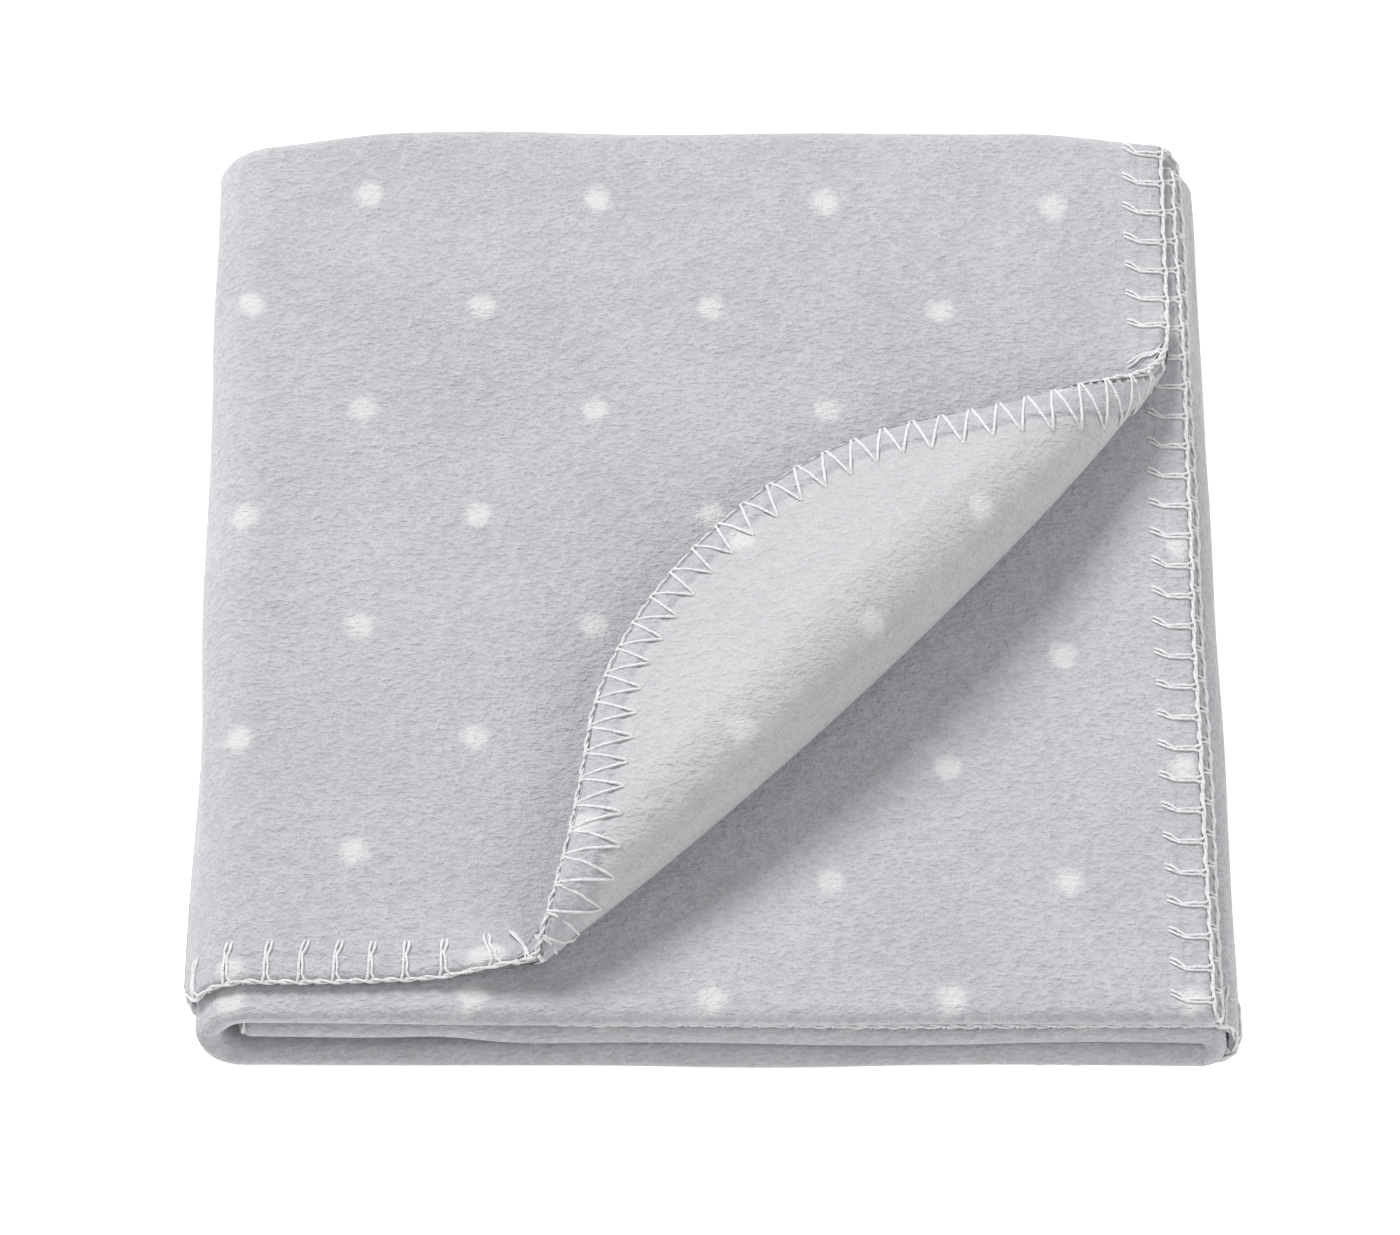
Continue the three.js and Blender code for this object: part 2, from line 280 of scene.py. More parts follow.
@dataclass(frozen=True)
class Folding:
    """The sizes of the folded cloth, and the map from a place in the cloth to a place in space.

    Attributes:
        thickness: Of the fleece with its pile.
        pitch: From one layer up to the next.
        first: Height of the middle of the lowest layer.
        left: Centre of the left fold, seen from the front.
        right: Centre of the right fold, seen from the front.
        back: Where the back folds begin.
        front: Where the front rolls begin.
        middle_back: Back cut edge of the middle layers, inside the back folds.
        tucked_end: Cut edge of the tucked third, inside the left fold.
        outer_end: Right cut edge of the cover's outer layer.
        middle_end: The same, of its middle layer.
        inner_end: The same, of its inner layer.
        fronts: Front cut edges of the cover's, the base's and the tucked third's outer layers.
        rounding: Radius of the throw's corners as cut.
        recess: How far the outer layer's front edge steps back inside the left fold.
        askew: How far the right ends of the cover's lower layers are drawn in at the back.
        slip: How far the print has slipped sideways on the inner layer, lengthwise past it, and sideways past
            the base.
        drawn: How far the print is drawn forwards at the back of the top layer: all over, and besides that at
            its right edge.
        slack: The waves of the relaxed cloth.
    """

    thickness: float = 3.3
    pitch: float = 3.9
    first: float = 1.7
    left: tuple[float, float] = (-133.7, 17.3)
    right: tuple[float, float] = (139.55, 11.45)
    back: float = 139.4
    front: float = -141.35
    middle_back: float = 136.9
    tucked_end: float = -134.5
    outer_end: float = 134.0
    middle_end: float = 141.6
    inner_end: float = 144.0
    fronts: tuple[float, float, float] = (-134.0, -140.0, -142.8)
    rounding: float = 99.0
    recess: float = 9.0
    askew: float = 3.4
    slip: Vector = field(default_factory=lambda: Vector((10.0, 16.9, 10.7)))
    drawn: tuple[float, float] = (3.4, 5.0)
    slack: Slack = field(default_factory=Slack)

    @property
    def top(self) -> float:
        """Height of the middle of the top layer."""
        return self.first + 8 * self.pitch

    @property
    def left_reach(self) -> float:
        """Radius of the outermost layer round the left fold."""
        return 4 * self.pitch

    @property
    def right_reach(self) -> float:
        """Radius of the outermost layer round the right fold."""
        return 2.5 * self.pitch

    @property
    def panel_width(self) -> float:
        """Width of the cover's outer layer, from the left fold to its right cut edge."""
        return self.outer_end - self.left[0]

    @property
    def turn_right(self) -> Vector:
        """The end of the turn line at the cover's right edge."""
        return Vector((self.outer_end, 74.0))

    @property
    def turn_front(self) -> Vector:
        """The end of the turn line at the cover's front edge."""
        return Vector((-64.0, self.fronts[0]))

    @property
    def back_length(self) -> float:
        """Length of cloth round the back fold."""
        return HALF_TURN * self.pitch

    @property
    def inner_length(self) -> float:
        """Length of the inner layer between the back fold and the front roll."""
        return self.back - self.front

    @property
    def roll_start(self) -> float:
        """Where the front roll starts, from the start of the back fold."""
        return self.back_length + self.inner_length

    @property
    def roll_length(self) -> float:
        """Length of cloth round the front roll."""
        return HALF_TURN * self.pitch / 2

    @property
    def last(self) -> float:
        """Where the cloth's length ends, from the start of the back fold."""
        return self.roll_start + self.roll_length + self.middle_back - self.front

    def front_edge(self, lie: Lie, share: float) -> float:
        """Returns where the front cut edge of the outer layer runs.

        Args:
            lie: The stretch of the cloth's width.
            share: How far along a side fold, from 0 to 1.
        """
        cover, base, tucked = self.fronts
        if lie is Lie.COVER:
            return cover
        if lie is Lie.BASE:
            return base
        if lie is Lie.TUCKED:
            return tucked + self.step_back(share)
        start, end = (cover, base) if lie is Lie.LEFT_FOLD else (base, tucked)
        inside = RECESS_IN.at(share) * RECESS_OUT.at(share)
        recess = self.recess * inside if lie is Lie.LEFT_FOLD else 0.0
        return start + (end - start) * smooth(share) + recess

    def step_back(self, share: float) -> float:
        """Returns how far the tucked third's rounded corner steps back, at a share of its width."""
        from_end = (1 - share) * (self.right[0] - self.tucked_end)
        past = min(max(1 - from_end / self.rounding, 0.0), ROUNDED_AWAY)
        return self.rounding * (1 - math.sqrt(1 - past * past))

    def right_end(self, along: float) -> float:
        """Returns where the cover's right cut edge runs, at a place along the cloth's length."""
        past_fold = smooth(along / self.back_length)
        past_roll = smooth((along - self.roll_start) / self.roll_length)
        inner = self.outer_end + (self.inner_end - self.outer_end) * past_fold
        towards_back = (self.section(along, 0.0)[0] - self.front) / (self.back - self.front)
        return inner + (self.middle_end - self.inner_end) * past_roll - self.askew * past_fold * towards_back

    def draw_print(self, printed: Vector) -> float:
        """Returns how far the print is drawn forwards at a place in the cover's cloth."""
        at_left = DRAWN_LEFT.at(printed.x - self.left[0])
        at_right = Ramp(self.left[0], self.outer_end).straight(printed.x)
        under = smooth((printed.y - self.back) / self.inner_length)
        at_back = DRAWN_BACK.at(printed.y) * (1 - under)
        return (self.drawn[0] * at_left + self.drawn[1] * at_right) * at_back

    def section(self, along: float, offset: float) -> tuple[float, float]:
        """Places a point in the fold in three, seen from the end.

        Args:
            along: Distance along the cloth's length from the start of the back fold; below 0 on the outer
                layer.
            offset: Distance out from the middle of the cloth, towards its dotted face.

        Returns:
            The place front to back, and the height above the inner layer.
        """
        if along < 0:
            return self.back + along, 2 * self.pitch + offset
        if along < self.back_length:
            angle = along / self.pitch
            reach = self.pitch + offset
            return self.back + reach * math.sin(angle), self.pitch + reach * math.cos(angle)
        along -= self.back_length
        if along < self.inner_length:
            return self.back - along, -offset
        along -= self.inner_length
        radius = self.pitch / 2
        if along < self.roll_length:
            angle = along / radius
            reach = radius + offset
            return self.front - reach * math.sin(angle), radius - reach * math.cos(angle)
        return self.front + along - self.roll_length, self.pitch + offset

    def place(self, lie: Lie, share: float, along: float, offset: float) -> Vector:
        """Places a point of the cloth in space.

        Args:
            lie: The stretch of the cloth's width.
            share: How far along that stretch, from 0 to 1, in the order of the class Lie.
            along: Distance along the cloth's length from the start of the back fold.
            offset: Distance out from the middle of the cloth, towards its dotted face.

        Returns:
            The point in the relaxed throw.
        """
        y, height = self.section(along, offset)
        (left_x, left_z), (right_x, right_z) = self.left, self.right
        if lie is Lie.COVER:
            x = self.right_end(along) + (left_x - self.right_end(along)) * share
            z = self.first + 6 * self.pitch + height
        elif lie is Lie.LEFT_FOLD:
            reach = 2 * self.pitch + height
            x = left_x - reach * math.sin(HALF_TURN * share)
            z = left_z + reach * math.cos(HALF_TURN * share)
        elif lie is Lie.BASE:
            x = left_x + (right_x - left_x) * share
            z = self.first + 2 * self.pitch - height
        elif lie is Lie.RIGHT_FOLD:
            reach = self.pitch / 2 + height
            x = right_x + reach * math.sin(HALF_TURN * share)
            z = right_z - reach * math.cos(HALF_TURN * share)
        else:
            x = right_x + (self.tucked_end - right_x) * share
            lift = self.pitch * LIFT_CORNER.at(self.step_back(share)) * LIFT_FRONT.at(y)
            z = self.first + 3 * self.pitch + height + lift
        point = Vector((x, y, z))
        if lie is Lie.COVER and along < 0:
            point += self.slack.pull(x, y, self.turn_front, self.turn_right)
        return self.slack.settle(point)

    def print_place(self, lie: Lie, share: float, along: float) -> Vector:
        """Returns where a point lies in the printed cloth, so that the dots run on through the folds.

        Args:
            lie: The stretch of the cloth's width.
            share: How far along that stretch, from 0 to 1.
            along: Distance along the cloth's length from the start of the back fold.
        """
        _, height = self.section(along, 0.0)
        (left_x, _), (right_x, _) = self.left, self.right
        round_left = HALF_TURN * (2 * self.pitch + height)
        round_right = HALF_TURN * (self.pitch / 2 + height)
        width = right_x - left_x
        across = {
            Lie.COVER: self.right_end(along) * (1 - share) + left_x * share,
            Lie.LEFT_FOLD: left_x - round_left * share,
            Lie.BASE: left_x - round_left - width * share,
            Lie.RIGHT_FOLD: left_x - round_left - width - round_right * share,
            Lie.TUCKED: left_x - round_left - width - round_right - (right_x - self.tucked_end) * share,
        }
        eased = smooth((along - self.back_length) / self.inner_length)
        past_fold = smooth(along / self.back_length)
        past_roll = smooth((along - self.roll_start) / self.roll_length)
        sideways = self.slip.x * past_fold * (1 - past_roll)
        if lie in (Lie.BASE, Lie.RIGHT_FOLD, Lie.TUCKED):
            sideways += self.slip.z * (smooth(share) if lie is Lie.BASE else 1.0)
        return Vector((across[lie] + sideways, self.back + along + self.slip.y * eased, 0))


@dataclass(frozen=True)
class Corner:
    """The turned corner of the top layer: a curl along the turn line and a flap that slopes back from it.

    Attributes:
        folding: The folded throw.
        full: Radius of the curl at its middle.
        pinched: Radius of the curl where it dies into the cut edges.
        fullness: Below 1 keeps the curl full towards its ends.
        slope: How far past level the flap slopes down.
    """

    folding: Folding
    full: float = 17.0
    pinched: float = 2.3
    fullness: float = 0.74
    slope: float = 0.3

    @property
    def length(self) -> float:
        """Length of the turn line."""
        return (self.folding.turn_front - self.folding.turn_right).length

    @property
    def along(self) -> Vector:
        """Direction of the turn line, from the right edge to the front edge."""
        return (self.folding.turn_front - self.folding.turn_right).normalized()

    @property
    def across(self) -> Vector:
        """Direction across the turn line, towards the corner."""
        return Vector((-self.along.y, self.along.x))

    def foot(self, along: float) -> Vector:
        """Returns a point of the turn line."""
        return self.folding.turn_right + self.along * along

    def reach(self, along: float) -> float:
        """Returns how far the cloth reaches past the turn line, up to the rounded corner."""
        folding = self.folding
        foot = self.foot(along)
        across = self.across
        to_right = (folding.outer_end - foot.x) / across.x
        to_front = (foot.y - folding.fronts[0]) / -across.y
        straight = min(to_right, to_front)
        centre = Vector((folding.outer_end - folding.rounding, folding.fronts[0] + folding.rounding))
        from_centre = foot - centre
        half = from_centre.dot(across)
        root = half * half - from_centre.length_squared + folding.rounding**2
        if root < 0:
            return straight
        reach = math.sqrt(root) - half
        hit = foot + across * reach
        on_arc = hit.x > centre.x and hit.y < centre.y
        return min(straight, reach) if on_arc else straight

    def radius(self, along: float) -> float:
        """Returns the radius of the curl at a place along the turn line."""
        share = min(max(along / self.length, 0.0), 1.0)
        return self.pinched + (self.full - self.pinched) * (4 * share * (1 - share)) ** self.fullness

    def place(self, along: float, past_line: float, offset: float) -> Vector:
        """Places a point of the turned cloth in space.

        Args:
            along: Distance along the turn line.
            past_line: Distance across the cloth from the turn line; below 0 on the flat top layer.
            offset: Distance out from the middle of the cloth, towards its dotted face.

        Returns:
            The point in the relaxed throw.
        """
        folding = self.folding
        radius = self.radius(along)
        angle = min(max(past_line, 0.0) / radius, HALF_TURN + self.slope)
        past = max(past_line - radius * (HALF_TURN + self.slope), 0.0)
        out = (radius - offset) * math.sin(angle) + past * math.cos(angle) + min(past_line, 0.0)
        rise = radius - (radius - offset) * math.cos(angle) + past * math.sin(angle)
        foot = self.foot(along)
        flat = foot + self.across * out
        pull = folding.slack.pull(foot.x, foot.y, folding.turn_front, folding.turn_right)
        point = Vector((flat.x, flat.y, folding.top + rise)) + pull
        return folding.slack.settle(point)

    def print_place(self, along: float, past_line: float) -> Vector:
        """Returns where a point of the turned cloth lies in the printed cloth, and how far in it is."""
        flat = self.foot(along) + self.across * past_line
        return Vector((flat.x, flat.y, self.inward(flat)))

    def inward(self, flat: Vector) -> float:
        """Returns how far in from the cut edge a point of the top layer's flat cloth is."""
        folding = self.folding
        from_right = folding.outer_end - flat.x
        from_front = flat.y - folding.fronts[0]
        nearest = min(from_right, from_front)
        if from_right < folding.rounding and from_front < folding.rounding:
            centre = Vector((folding.outer_end - folding.rounding, folding.fronts[0] + folding.rounding))
            nearest = min(nearest, folding.rounding - (flat - centre).length)
        return nearest


# ---------------------------------------------------------------------------------------------------------
# Cloth
# ---------------------------------------------------------------------------------------------------------


@dataclass(frozen=True)
class Stretch:
    """One stretch of a run of cloth.

    Attributes:
        cells: How many cells it is divided into.
        lie: Its place along the width, for a stretch of the cloth's width.
        course: Its place along the length, for a stretch of the cloth's length.
        start: Where it starts, from 0 to 1.
        end: Where it ends, from 0 to 1.
    """

    cells: int
    lie: Lie = Lie.COVER
    course: Course = Course.OUTER
    start: float = 0.0
    end: float = 1.0


def find_stretch(run: tuple[Stretch, ...], cell: int) -> tuple[Stretch, float]:
    """Finds the stretch that a cell boundary belongs to.

    Args:
        run: The stretches, in order.
        cell: Number of the boundary, counted from 0 over the whole run.

    Returns:
        The stretch and how far along it the boundary lies, from its start to its end.
    """
    for stretch in run:
        if cell <= stretch.cells:
            share = cell / stretch.cells
            return stretch, stretch.start + (stretch.end - stretch.start) * share
        cell -= stretch.cells
    return run[-1], run[-1].end


@dataclass(frozen=True)
class Rims:
    """Which of a piece's four borders are cut edges, with a soft rounded rim. The others are seams."""

    first_column: bool = False
    last_column: bool = False
    first_row: bool = False
    last_row: bool = False


# How many cells the cloth has: along its length on the outer layer, on the layers inside and round each
# turn, and along its width on each third, on half the left fold and on the right fold.
OUTER_CELLS = 70
LAYER_CELLS = 60
TURN_CELLS = 12
THIRD_CELLS = 84
HALF_LEFT_CELLS = 20
RIGHT_CELLS = 24

# How close together two points are joined into one, how close to a cut a point counts as on it, and how far
# in from a cut edge the hem is measured.
JOIN_DISTANCE = 0.01
CUT_DISTANCE = 0.001
HEM_LIMIT = 20.0

# Gives a point of the cloth and its place in the print; see Slab.shape.
Laying = Callable[[float, float, float, float, float], tuple[Vector, Vector]]


@dataclass
class Slab:
    """A closed slab of cells that is laid along the folded cloth.

    Attributes:
        columns: Cells along the cloth's width.
        rows: Cells along the cloth's length.
        rims: Which borders are cut edges.
        thickness: Of the cloth.
        rim_steps: How many strips a rim is divided into.
    """

    columns: int
    rows: int
    rims: Rims
    thickness: float
    rim_steps: int = 4

    def shape(self, laying: Laying) -> bmesh.types.BMesh:
        """Makes the slab and lays it.

        Args:
            laying: Gives a point and its place in the print, with the distance in from the cut edge as
                that place's third value, from the column, the row, the push outwards along the columns and
                the rows, and the offset from the middle of the cloth.

        Returns:
            The laid cloth, in millimetres. The layer cloth_place on its vertices has each vertex's place in
            the print, and its distance in from the cut edge plus 1, which is below 0 on the reverse.
        """
        mesh = bmesh.new()
        bmesh.ops.create_grid(mesh, x_segments=self.columns, y_segments=self.rows, size=0.5)
        bmesh.ops.translate(mesh, verts=mesh.verts[:], vec=(0, 0, -0.5))
        raised = bmesh.ops.extrude_face_region(mesh, geom=mesh.faces[:])
        lifted = [part for part in raised["geom"] if isinstance(part, bmesh.types.BMVert)]
        bmesh.ops.translate(mesh, verts=lifted, vec=(0, 0, 1))
        upright = [edge for edge in mesh.edges if abs(edge.verts[0].co.z - edge.verts[1].co.z) > 0.5]
        bmesh.ops.subdivide_edges(mesh, edges=upright, cuts=self.rim_steps - 1, use_grid_fill=True)
        bmesh.ops.recalc_face_normals(mesh, faces=mesh.faces[:])
        printed = mesh.verts.layers.float_vector.new("cloth_place")
        half = self.thickness / 2
        for vertex in mesh.verts:
            column = round((vertex.co.x + 0.5) * self.columns)
            row = round((vertex.co.y + 0.5) * self.rows)
            turn = vertex.co.z * HALF_TURN
            push_column = self._push(column, self.columns, self.rims.first_column, self.rims.last_column)
            push_row = self._push(row, self.rows, self.rims.first_row, self.rims.last_row)
            rounded = bool(push_column or push_row)
            offset = half * math.sin(turn) if rounded else self.thickness * vertex.co.z
            bulge = half * (math.cos(turn) - 1)
            point, place = laying(column, row, push_column * bulge, push_row * bulge, offset)
            vertex.co = point
            side = Side.DOTTED if offset > 0 else Side.REVERSE
            inward = 1 + min(max(place.z, 0.0), HEM_LIMIT)
            vertex[printed] = (place.x, place.y, side.value * inward)
        return mesh

    @staticmethod
    def _push(index: int, count: int, first: bool, last: bool) -> int:
        """Returns -1 or 1 on a cut edge's first or last line of the slab, and 0 elsewhere."""
        if index == 0 and first:
            return -1
        if index == count and last:
            return 1
        return 0


def finish_mesh(mesh: bmesh.types.BMesh, name: str) -> bpy.types.Object:
    """Turns a shape in millimetres into a piece of the throw.

    Args:
        mesh: The shape. It is used up.
        name: Name of the piece.

    Returns:
        The piece, with its place in its mesh.
    """
    bmesh.ops.transform(mesh, matrix=Matrix.Scale(MM, 4), verts=mesh.verts[:])
    data = bpy.data.meshes.new(name)
    mesh.to_mesh(data)
    mesh.free()
    data.shade_smooth()
    piece = bpy.data.objects.new(name, data)
    bpy.context.scene.collection.objects.link(piece)
    return piece


@dataclass
class ClothThird:
    """One of the three thirds of the folded cloth, with the stretch of side fold that belongs to it.

    Attributes:
        name: Name of the piece.
        folding: The folded throw.
        widths: The stretches along the cloth's width.
        rims: Which of its borders are cut edges.
        turned: The corner that is cut away here because it is turned back, if there is one.
    """

    name: str
    folding: Folding
    widths: tuple[Stretch, ...]
    rims: Rims
    turned: Corner | None = None

    def lengths(self) -> tuple[Stretch, ...]:
        """Returns the stretches along the cloth's length."""
        return (
            Stretch(OUTER_CELLS, course=Course.OUTER),
            Stretch(TURN_CELLS, course=Course.BACK_FOLD),
            Stretch(LAYER_CELLS, course=Course.INNER),
            Stretch(TURN_CELLS, course=Course.FRONT_ROLL),
            Stretch(LAYER_CELLS, course=Course.MIDDLE),
        )

    def along(self, course: Course, share: float, lie: Lie, width_share: float) -> float:
        """Returns the distance along the cloth's length from the start of the back fold.

        Args:
            course: The stretch of the length.
            share: How far along it, from 0 to 1.
            lie: The stretch of the width, which sets where the outer layer starts.
            width_share: How far along that stretch, from 0 to 1.
        """
        folding = self.folding
        if course is Course.OUTER:
            front = folding.front_edge(lie, width_share)
            return (front - folding.back) * (1 - share)
        if course is Course.BACK_FOLD:
            return folding.back_length * share
        if course is Course.INNER:
            return folding.back_length + folding.inner_length * share
        if course is Course.FRONT_ROLL:
            return folding.roll_start + folding.roll_length * share
        return folding.last - (folding.middle_back - folding.front) * (1 - share)

    def lay(
        self, column: float, row: float, push_column: float, push_row: float, offset: float
    ) -> tuple[Vector, Vector]:
        """Lays one point of the slab; see Slab.shape for the arguments and what is returned."""
        width, width_share = find_stretch(self.widths, int(column))
        length, length_share = find_stretch(self.lengths(), int(row))
        folding = self.folding
        along = self.along(length.course, length_share, width.lie, width_share) + push_row
        width_share += push_column / folding.panel_width
        point = folding.place(width.lie, width_share, along, offset)
        place = folding.print_place(width.lie, width_share, along)
        front = along - folding.front_edge(width.lie, width_share) + folding.back
        inward = min(front, folding.last - along)
        if width.lie is Lie.COVER:
            inward = min(inward, width_share * folding.panel_width)
            if self.turned and along < 0:
                inward = min(inward, self.turned.inward(Vector((place.x, place.y))))
        elif width.lie is Lie.TUCKED:
            inward = min(inward, (1 - width_share) * folding.panel_width)
        place.z = inward
        return point, place

    def build(self) -> bpy.types.Object:
        """Makes the cloth.

        Returns:
            The piece, without its finish.
        """
        columns = sum(stretch.cells for stretch in self.widths)
        rows = sum(stretch.cells for stretch in self.lengths())
        slab = Slab(columns, rows, self.rims, self.folding.thickness)
        mesh = slab.shape(self.lay)
        if self.turned:
            self._cut_corner(mesh, self.turned)
            self._draw_print(mesh)
        bmesh.ops.remove_doubles(mesh, verts=mesh.verts[:], dist=JOIN_DISTANCE)
        return finish_mesh(mesh, self.name)

    def _draw_print(self, mesh: bmesh.types.BMesh) -> None:
        """Draws the print forwards at the back of the cover's cloth."""
        printed = mesh.verts.layers.float_vector["cloth_place"]
        for vertex in mesh.verts:
            vertex[printed].y += self.folding.draw_print(vertex[printed])

    def _cut_corner(self, mesh: bmesh.types.BMesh, corner: Corner) -> None:
        """Cuts the top layer along the turn line and closes the cut.

        Args:
            mesh: The laid cloth.
            corner: The turned corner that takes the place of what is cut away.
        """
        printed = mesh.verts.layers.float_vector["cloth_place"]
        settled = mesh.verts.layers.float_vector.new("settled")
        for vertex in mesh.verts:
            vertex[settled] = vertex.co
            vertex.co = (vertex[printed].x, vertex[printed].y, vertex.co.z)
        limit = self.folding.back
        top = [face for face in mesh.faces if all(vertex[printed].y < limit for vertex in face.verts)]
        parts = {part for face in top for part in (*face.verts, *face.edges, face)}
        cut = bmesh.ops.bisect_plane(
            mesh,
            geom=list(parts),
            dist=CUT_DISTANCE,
            plane_co=(*corner.foot(0), 0),
            plane_no=(*corner.across, 0),
            clear_outer=True,
        )
        rim = [part for part in cut["geom_cut"] if isinstance(part, bmesh.types.BMEdge)]
        closed = bmesh.ops.contextual_create(mesh, geom=rim)
        for face in closed["faces"]:
            face.smooth = False
        for vertex in mesh.verts:
            vertex.co = vertex[settled]
        mesh.verts.layers.float_vector.remove(settled)


@dataclass
class TurnedCloth:
    """The cloth of the turned corner.

    Attributes:
        corner: The turned corner's shape.
        name: Name of the piece.
        columns: Cells along the turn line.
        rows: Cells across it.
        hem: How far the turned-in hem stands up from the reverse.
        hem_step: Where the hem steps down to the reverse, in from the cut edge.
        hem_edge: Where it is rounded off at the cut edge.
        inset: How far the cloth stays in from the ends of the turn line, where the curl dies.
    """

    corner: Corner
    name: str = "cloth_corner"
    columns: int = 110
    rows: int = 80
    hem: float = 0.7
    hem_step: Ramp = Ramp(8.6, 6.8)
    hem_edge: Ramp = Ramp(0.0, 1.5)
    inset: float = 0.4

    def lay(
        self, column: float, row: float, push_column: float, push_row: float, offset: float
    ) -> tuple[Vector, Vector]:
        """Lays one point of the slab; see Slab.shape for the arguments and what is returned."""
        corner = self.corner
        along = self.inset + (corner.length - 2 * self.inset) * column / self.columns
        past_line = corner.reach(along) * row / self.rows
        fade = min(past_line / corner.folding.thickness, 1.0)
        past_line += push_row * fade
        place = corner.print_place(along, past_line)
        if offset < 0:
            offset -= self.hem * self.hem_step.at(place.z) * self.hem_edge.at(place.z)
        return corner.place(along + push_column, past_line, offset), place

    def build(self) -> bpy.types.Object:
        """Makes the cloth of the corner.

        Returns:
            The piece, without its finish.
        """
        rims = Rims(last_row=True)
        slab = Slab(self.columns, self.rows, rims, self.corner.folding.thickness)
        mesh = slab.shape(self.lay)
        bmesh.ops.remove_doubles(mesh, verts=mesh.verts[:], dist=JOIN_DISTANCE)
        return finish_mesh(mesh, self.name)


# ---------------------------------------------------------------------------------------------------------
# Yarn
# ---------------------------------------------------------------------------------------------------------


# From one stitch to the next on the end hems and the turned corner, and how far back the legs of the front
# hems lean.
END_STEP = 10.1
FRONT_WAY = -0.45


@dataclass(frozen=True)
class Hem:
    """A cut edge to be stitched.

    Attributes:
        length: Of the edge.
        at: Places a point from its distance along the edge, its distance in from the edge and its offset
            towards the dotted face.
        step: From one stitch to the next.
        way: How much the tips of the legs lean onwards along the edge; below 0 where they lean back.
    """

    length: float
    at: Callable[[float, float, float], Vector]
    step: float = 10.4
    way: float = 1.0


@dataclass(frozen=True)
class BlanketStitch:
    """Blanket stitch in fine doubled yarn: a leg of two strands on the dotted face that kinks where it climbs
    the hem, two legs that spread on the reverse, and two strands wound round each other along the edge.

    Attributes:
        bite: How far in from the edge the needle goes through.
        strand: Radius of one strand.
        spread: From one outer strand of a leg to the other.
        tip: How far the tip of a leg leans along the edge.
        lean: How far the legs of the reverse lean from one stitch to the next.
        half: Half the thickness of the cloth.
        sink: How far the yarn presses into the pile.
        uneven: How far a hand-made stitch strays from its place.
        chain_points: Points of each wound strand in one stitch.
        chain_out: How far the wound pair lies outside the edge.
        chain_bow: How much further out it bows between two legs.
        chain_width: How far each strand winds in and out.
        chain_rise: How far the wound pair lies above the middle of the cloth.
        chain_height: How far each strand winds up and down.
    """

    bite: float = 11.6
    strand: float = 0.44
    spread: float = 1.45
    tip: float = 2.3
    lean: float = 4.6
    half: float = 1.65
    sink: float = 0.25
    uneven: float = 1.5
    chain_points: int = 7
    chain_out: float = 0.2
    chain_bow: float = 0.35
    chain_width: float = 0.38
    chain_rise: float = 0.5
    chain_height: float = 0.55

    def strands(self, hem: Hem) -> Iterator[list[Vector]]:
        """Yields the strands of every stitch on a cut edge.

        Args:
            hem: The cut edge.
        """
        count = max(round(hem.length / hem.step), 1)
        step = hem.length / count
        for index in range(count):
            middle = (index + 0.5) * step
            seed = Vector((0.37 * index, hem.length, 0.5))
            stray = self.uneven * noise.noise_vector(seed)
            for side in (-1, 1):
                yield self._leg(hem, middle, side, stray)
                yield self._reverse_leg(hem, middle, side, stray)
                yield self._wound(hem, middle - step / 2, step, side)

    def _leg(self, hem: Hem, middle: float, side: int, stray: Vector) -> list[Vector]:
        """Returns one strand of the leg on the dotted face.

        Args:
            hem: The cut edge.
            middle: Where the leg stands along it.
            side: -1 or 1, for the strand.
            stray: How far this stitch strays.
        """
        above = self.half + self.strand - self.sink
        shift = side * self.spread / 2
        top = self.bite + 0.6 * stray.y
        lean = hem.way * self.tip + 0.8 * stray.x
        # Share of the spread, shift along the edge, share of the way in, height.
        shape = (
            (0.5, lean, 1.0, 0.3 * self.half),
            (0.9, lean, 0.98, above),
            (1.0, 0.6 * lean, 0.82, above + 0.2),
            (0.45, 0.0, 0.62, above),
            (0.75, 0.1 * stray.z, 0.35, above + 0.2),
            (0.6, 0.0, 0.12, above + 0.1),
            (1.6, 0.2 * lean, -0.03, 0.5 * above),
        )
        return [hem.at(middle + shift * wide + aside, top * deep, rise) for wide, aside, deep, rise in shape]

    def _reverse_leg(self, hem: Hem, middle: float, side: int, stray: Vector) -> list[Vector]:
        """Returns one leg on the reverse, which spreads from the needle hole to the edge.

        Args:
            hem: The cut edge.
            middle: Where the needle hole is along it.
            side: -1 or 1, for the leg.
            stray: How far this stitch strays.
        """
        below = self.half + self.strand - self.sink
        top = self.bite + stray.z
        hole = middle + stray.x
        # Share of the way from the hole to the foot, share of the way in, depth.
        shape = (
            (0.0, 1.0, 0.3 * below),
            (0.06, 0.99, below),
            (0.28, 0.76, below + 0.5),
            (0.62, 0.4, below + 0.75),
            (0.95, 0.07, below + 0.3),
            (1.0, -0.04, 0.3 * below),
        )
        foot = middle + side * self.lean
        return [hem.at(hole + (foot - hole) * wide, top * share, -rise) for wide, share, rise in shape]

    def _wound(self, hem: Hem, start: float, step: float, side: int) -> list[Vector]:
        """Returns one of the two strands wound along the edge, over one stitch.

        Args:
            hem: The cut edge.
            start: Where the stitch starts along it.
            step: Length of the stitch.
            side: -1 or 1, for the strand.
        """
        points = []
        for index in range(self.chain_points):
            share = index / (self.chain_points - 1)
            turn = 2 * HALF_TURN * share + (HALF_TURN if side > 0 else 0.0)
            bow = math.sin(HALF_TURN * share)
            out = self.chain_out + self.chain_bow * bow + self.chain_width * math.cos(turn)
            rise = self.chain_rise + self.chain_height * math.sin(turn)
            points.append(hem.at(start + step * share, -out, rise))
        return points


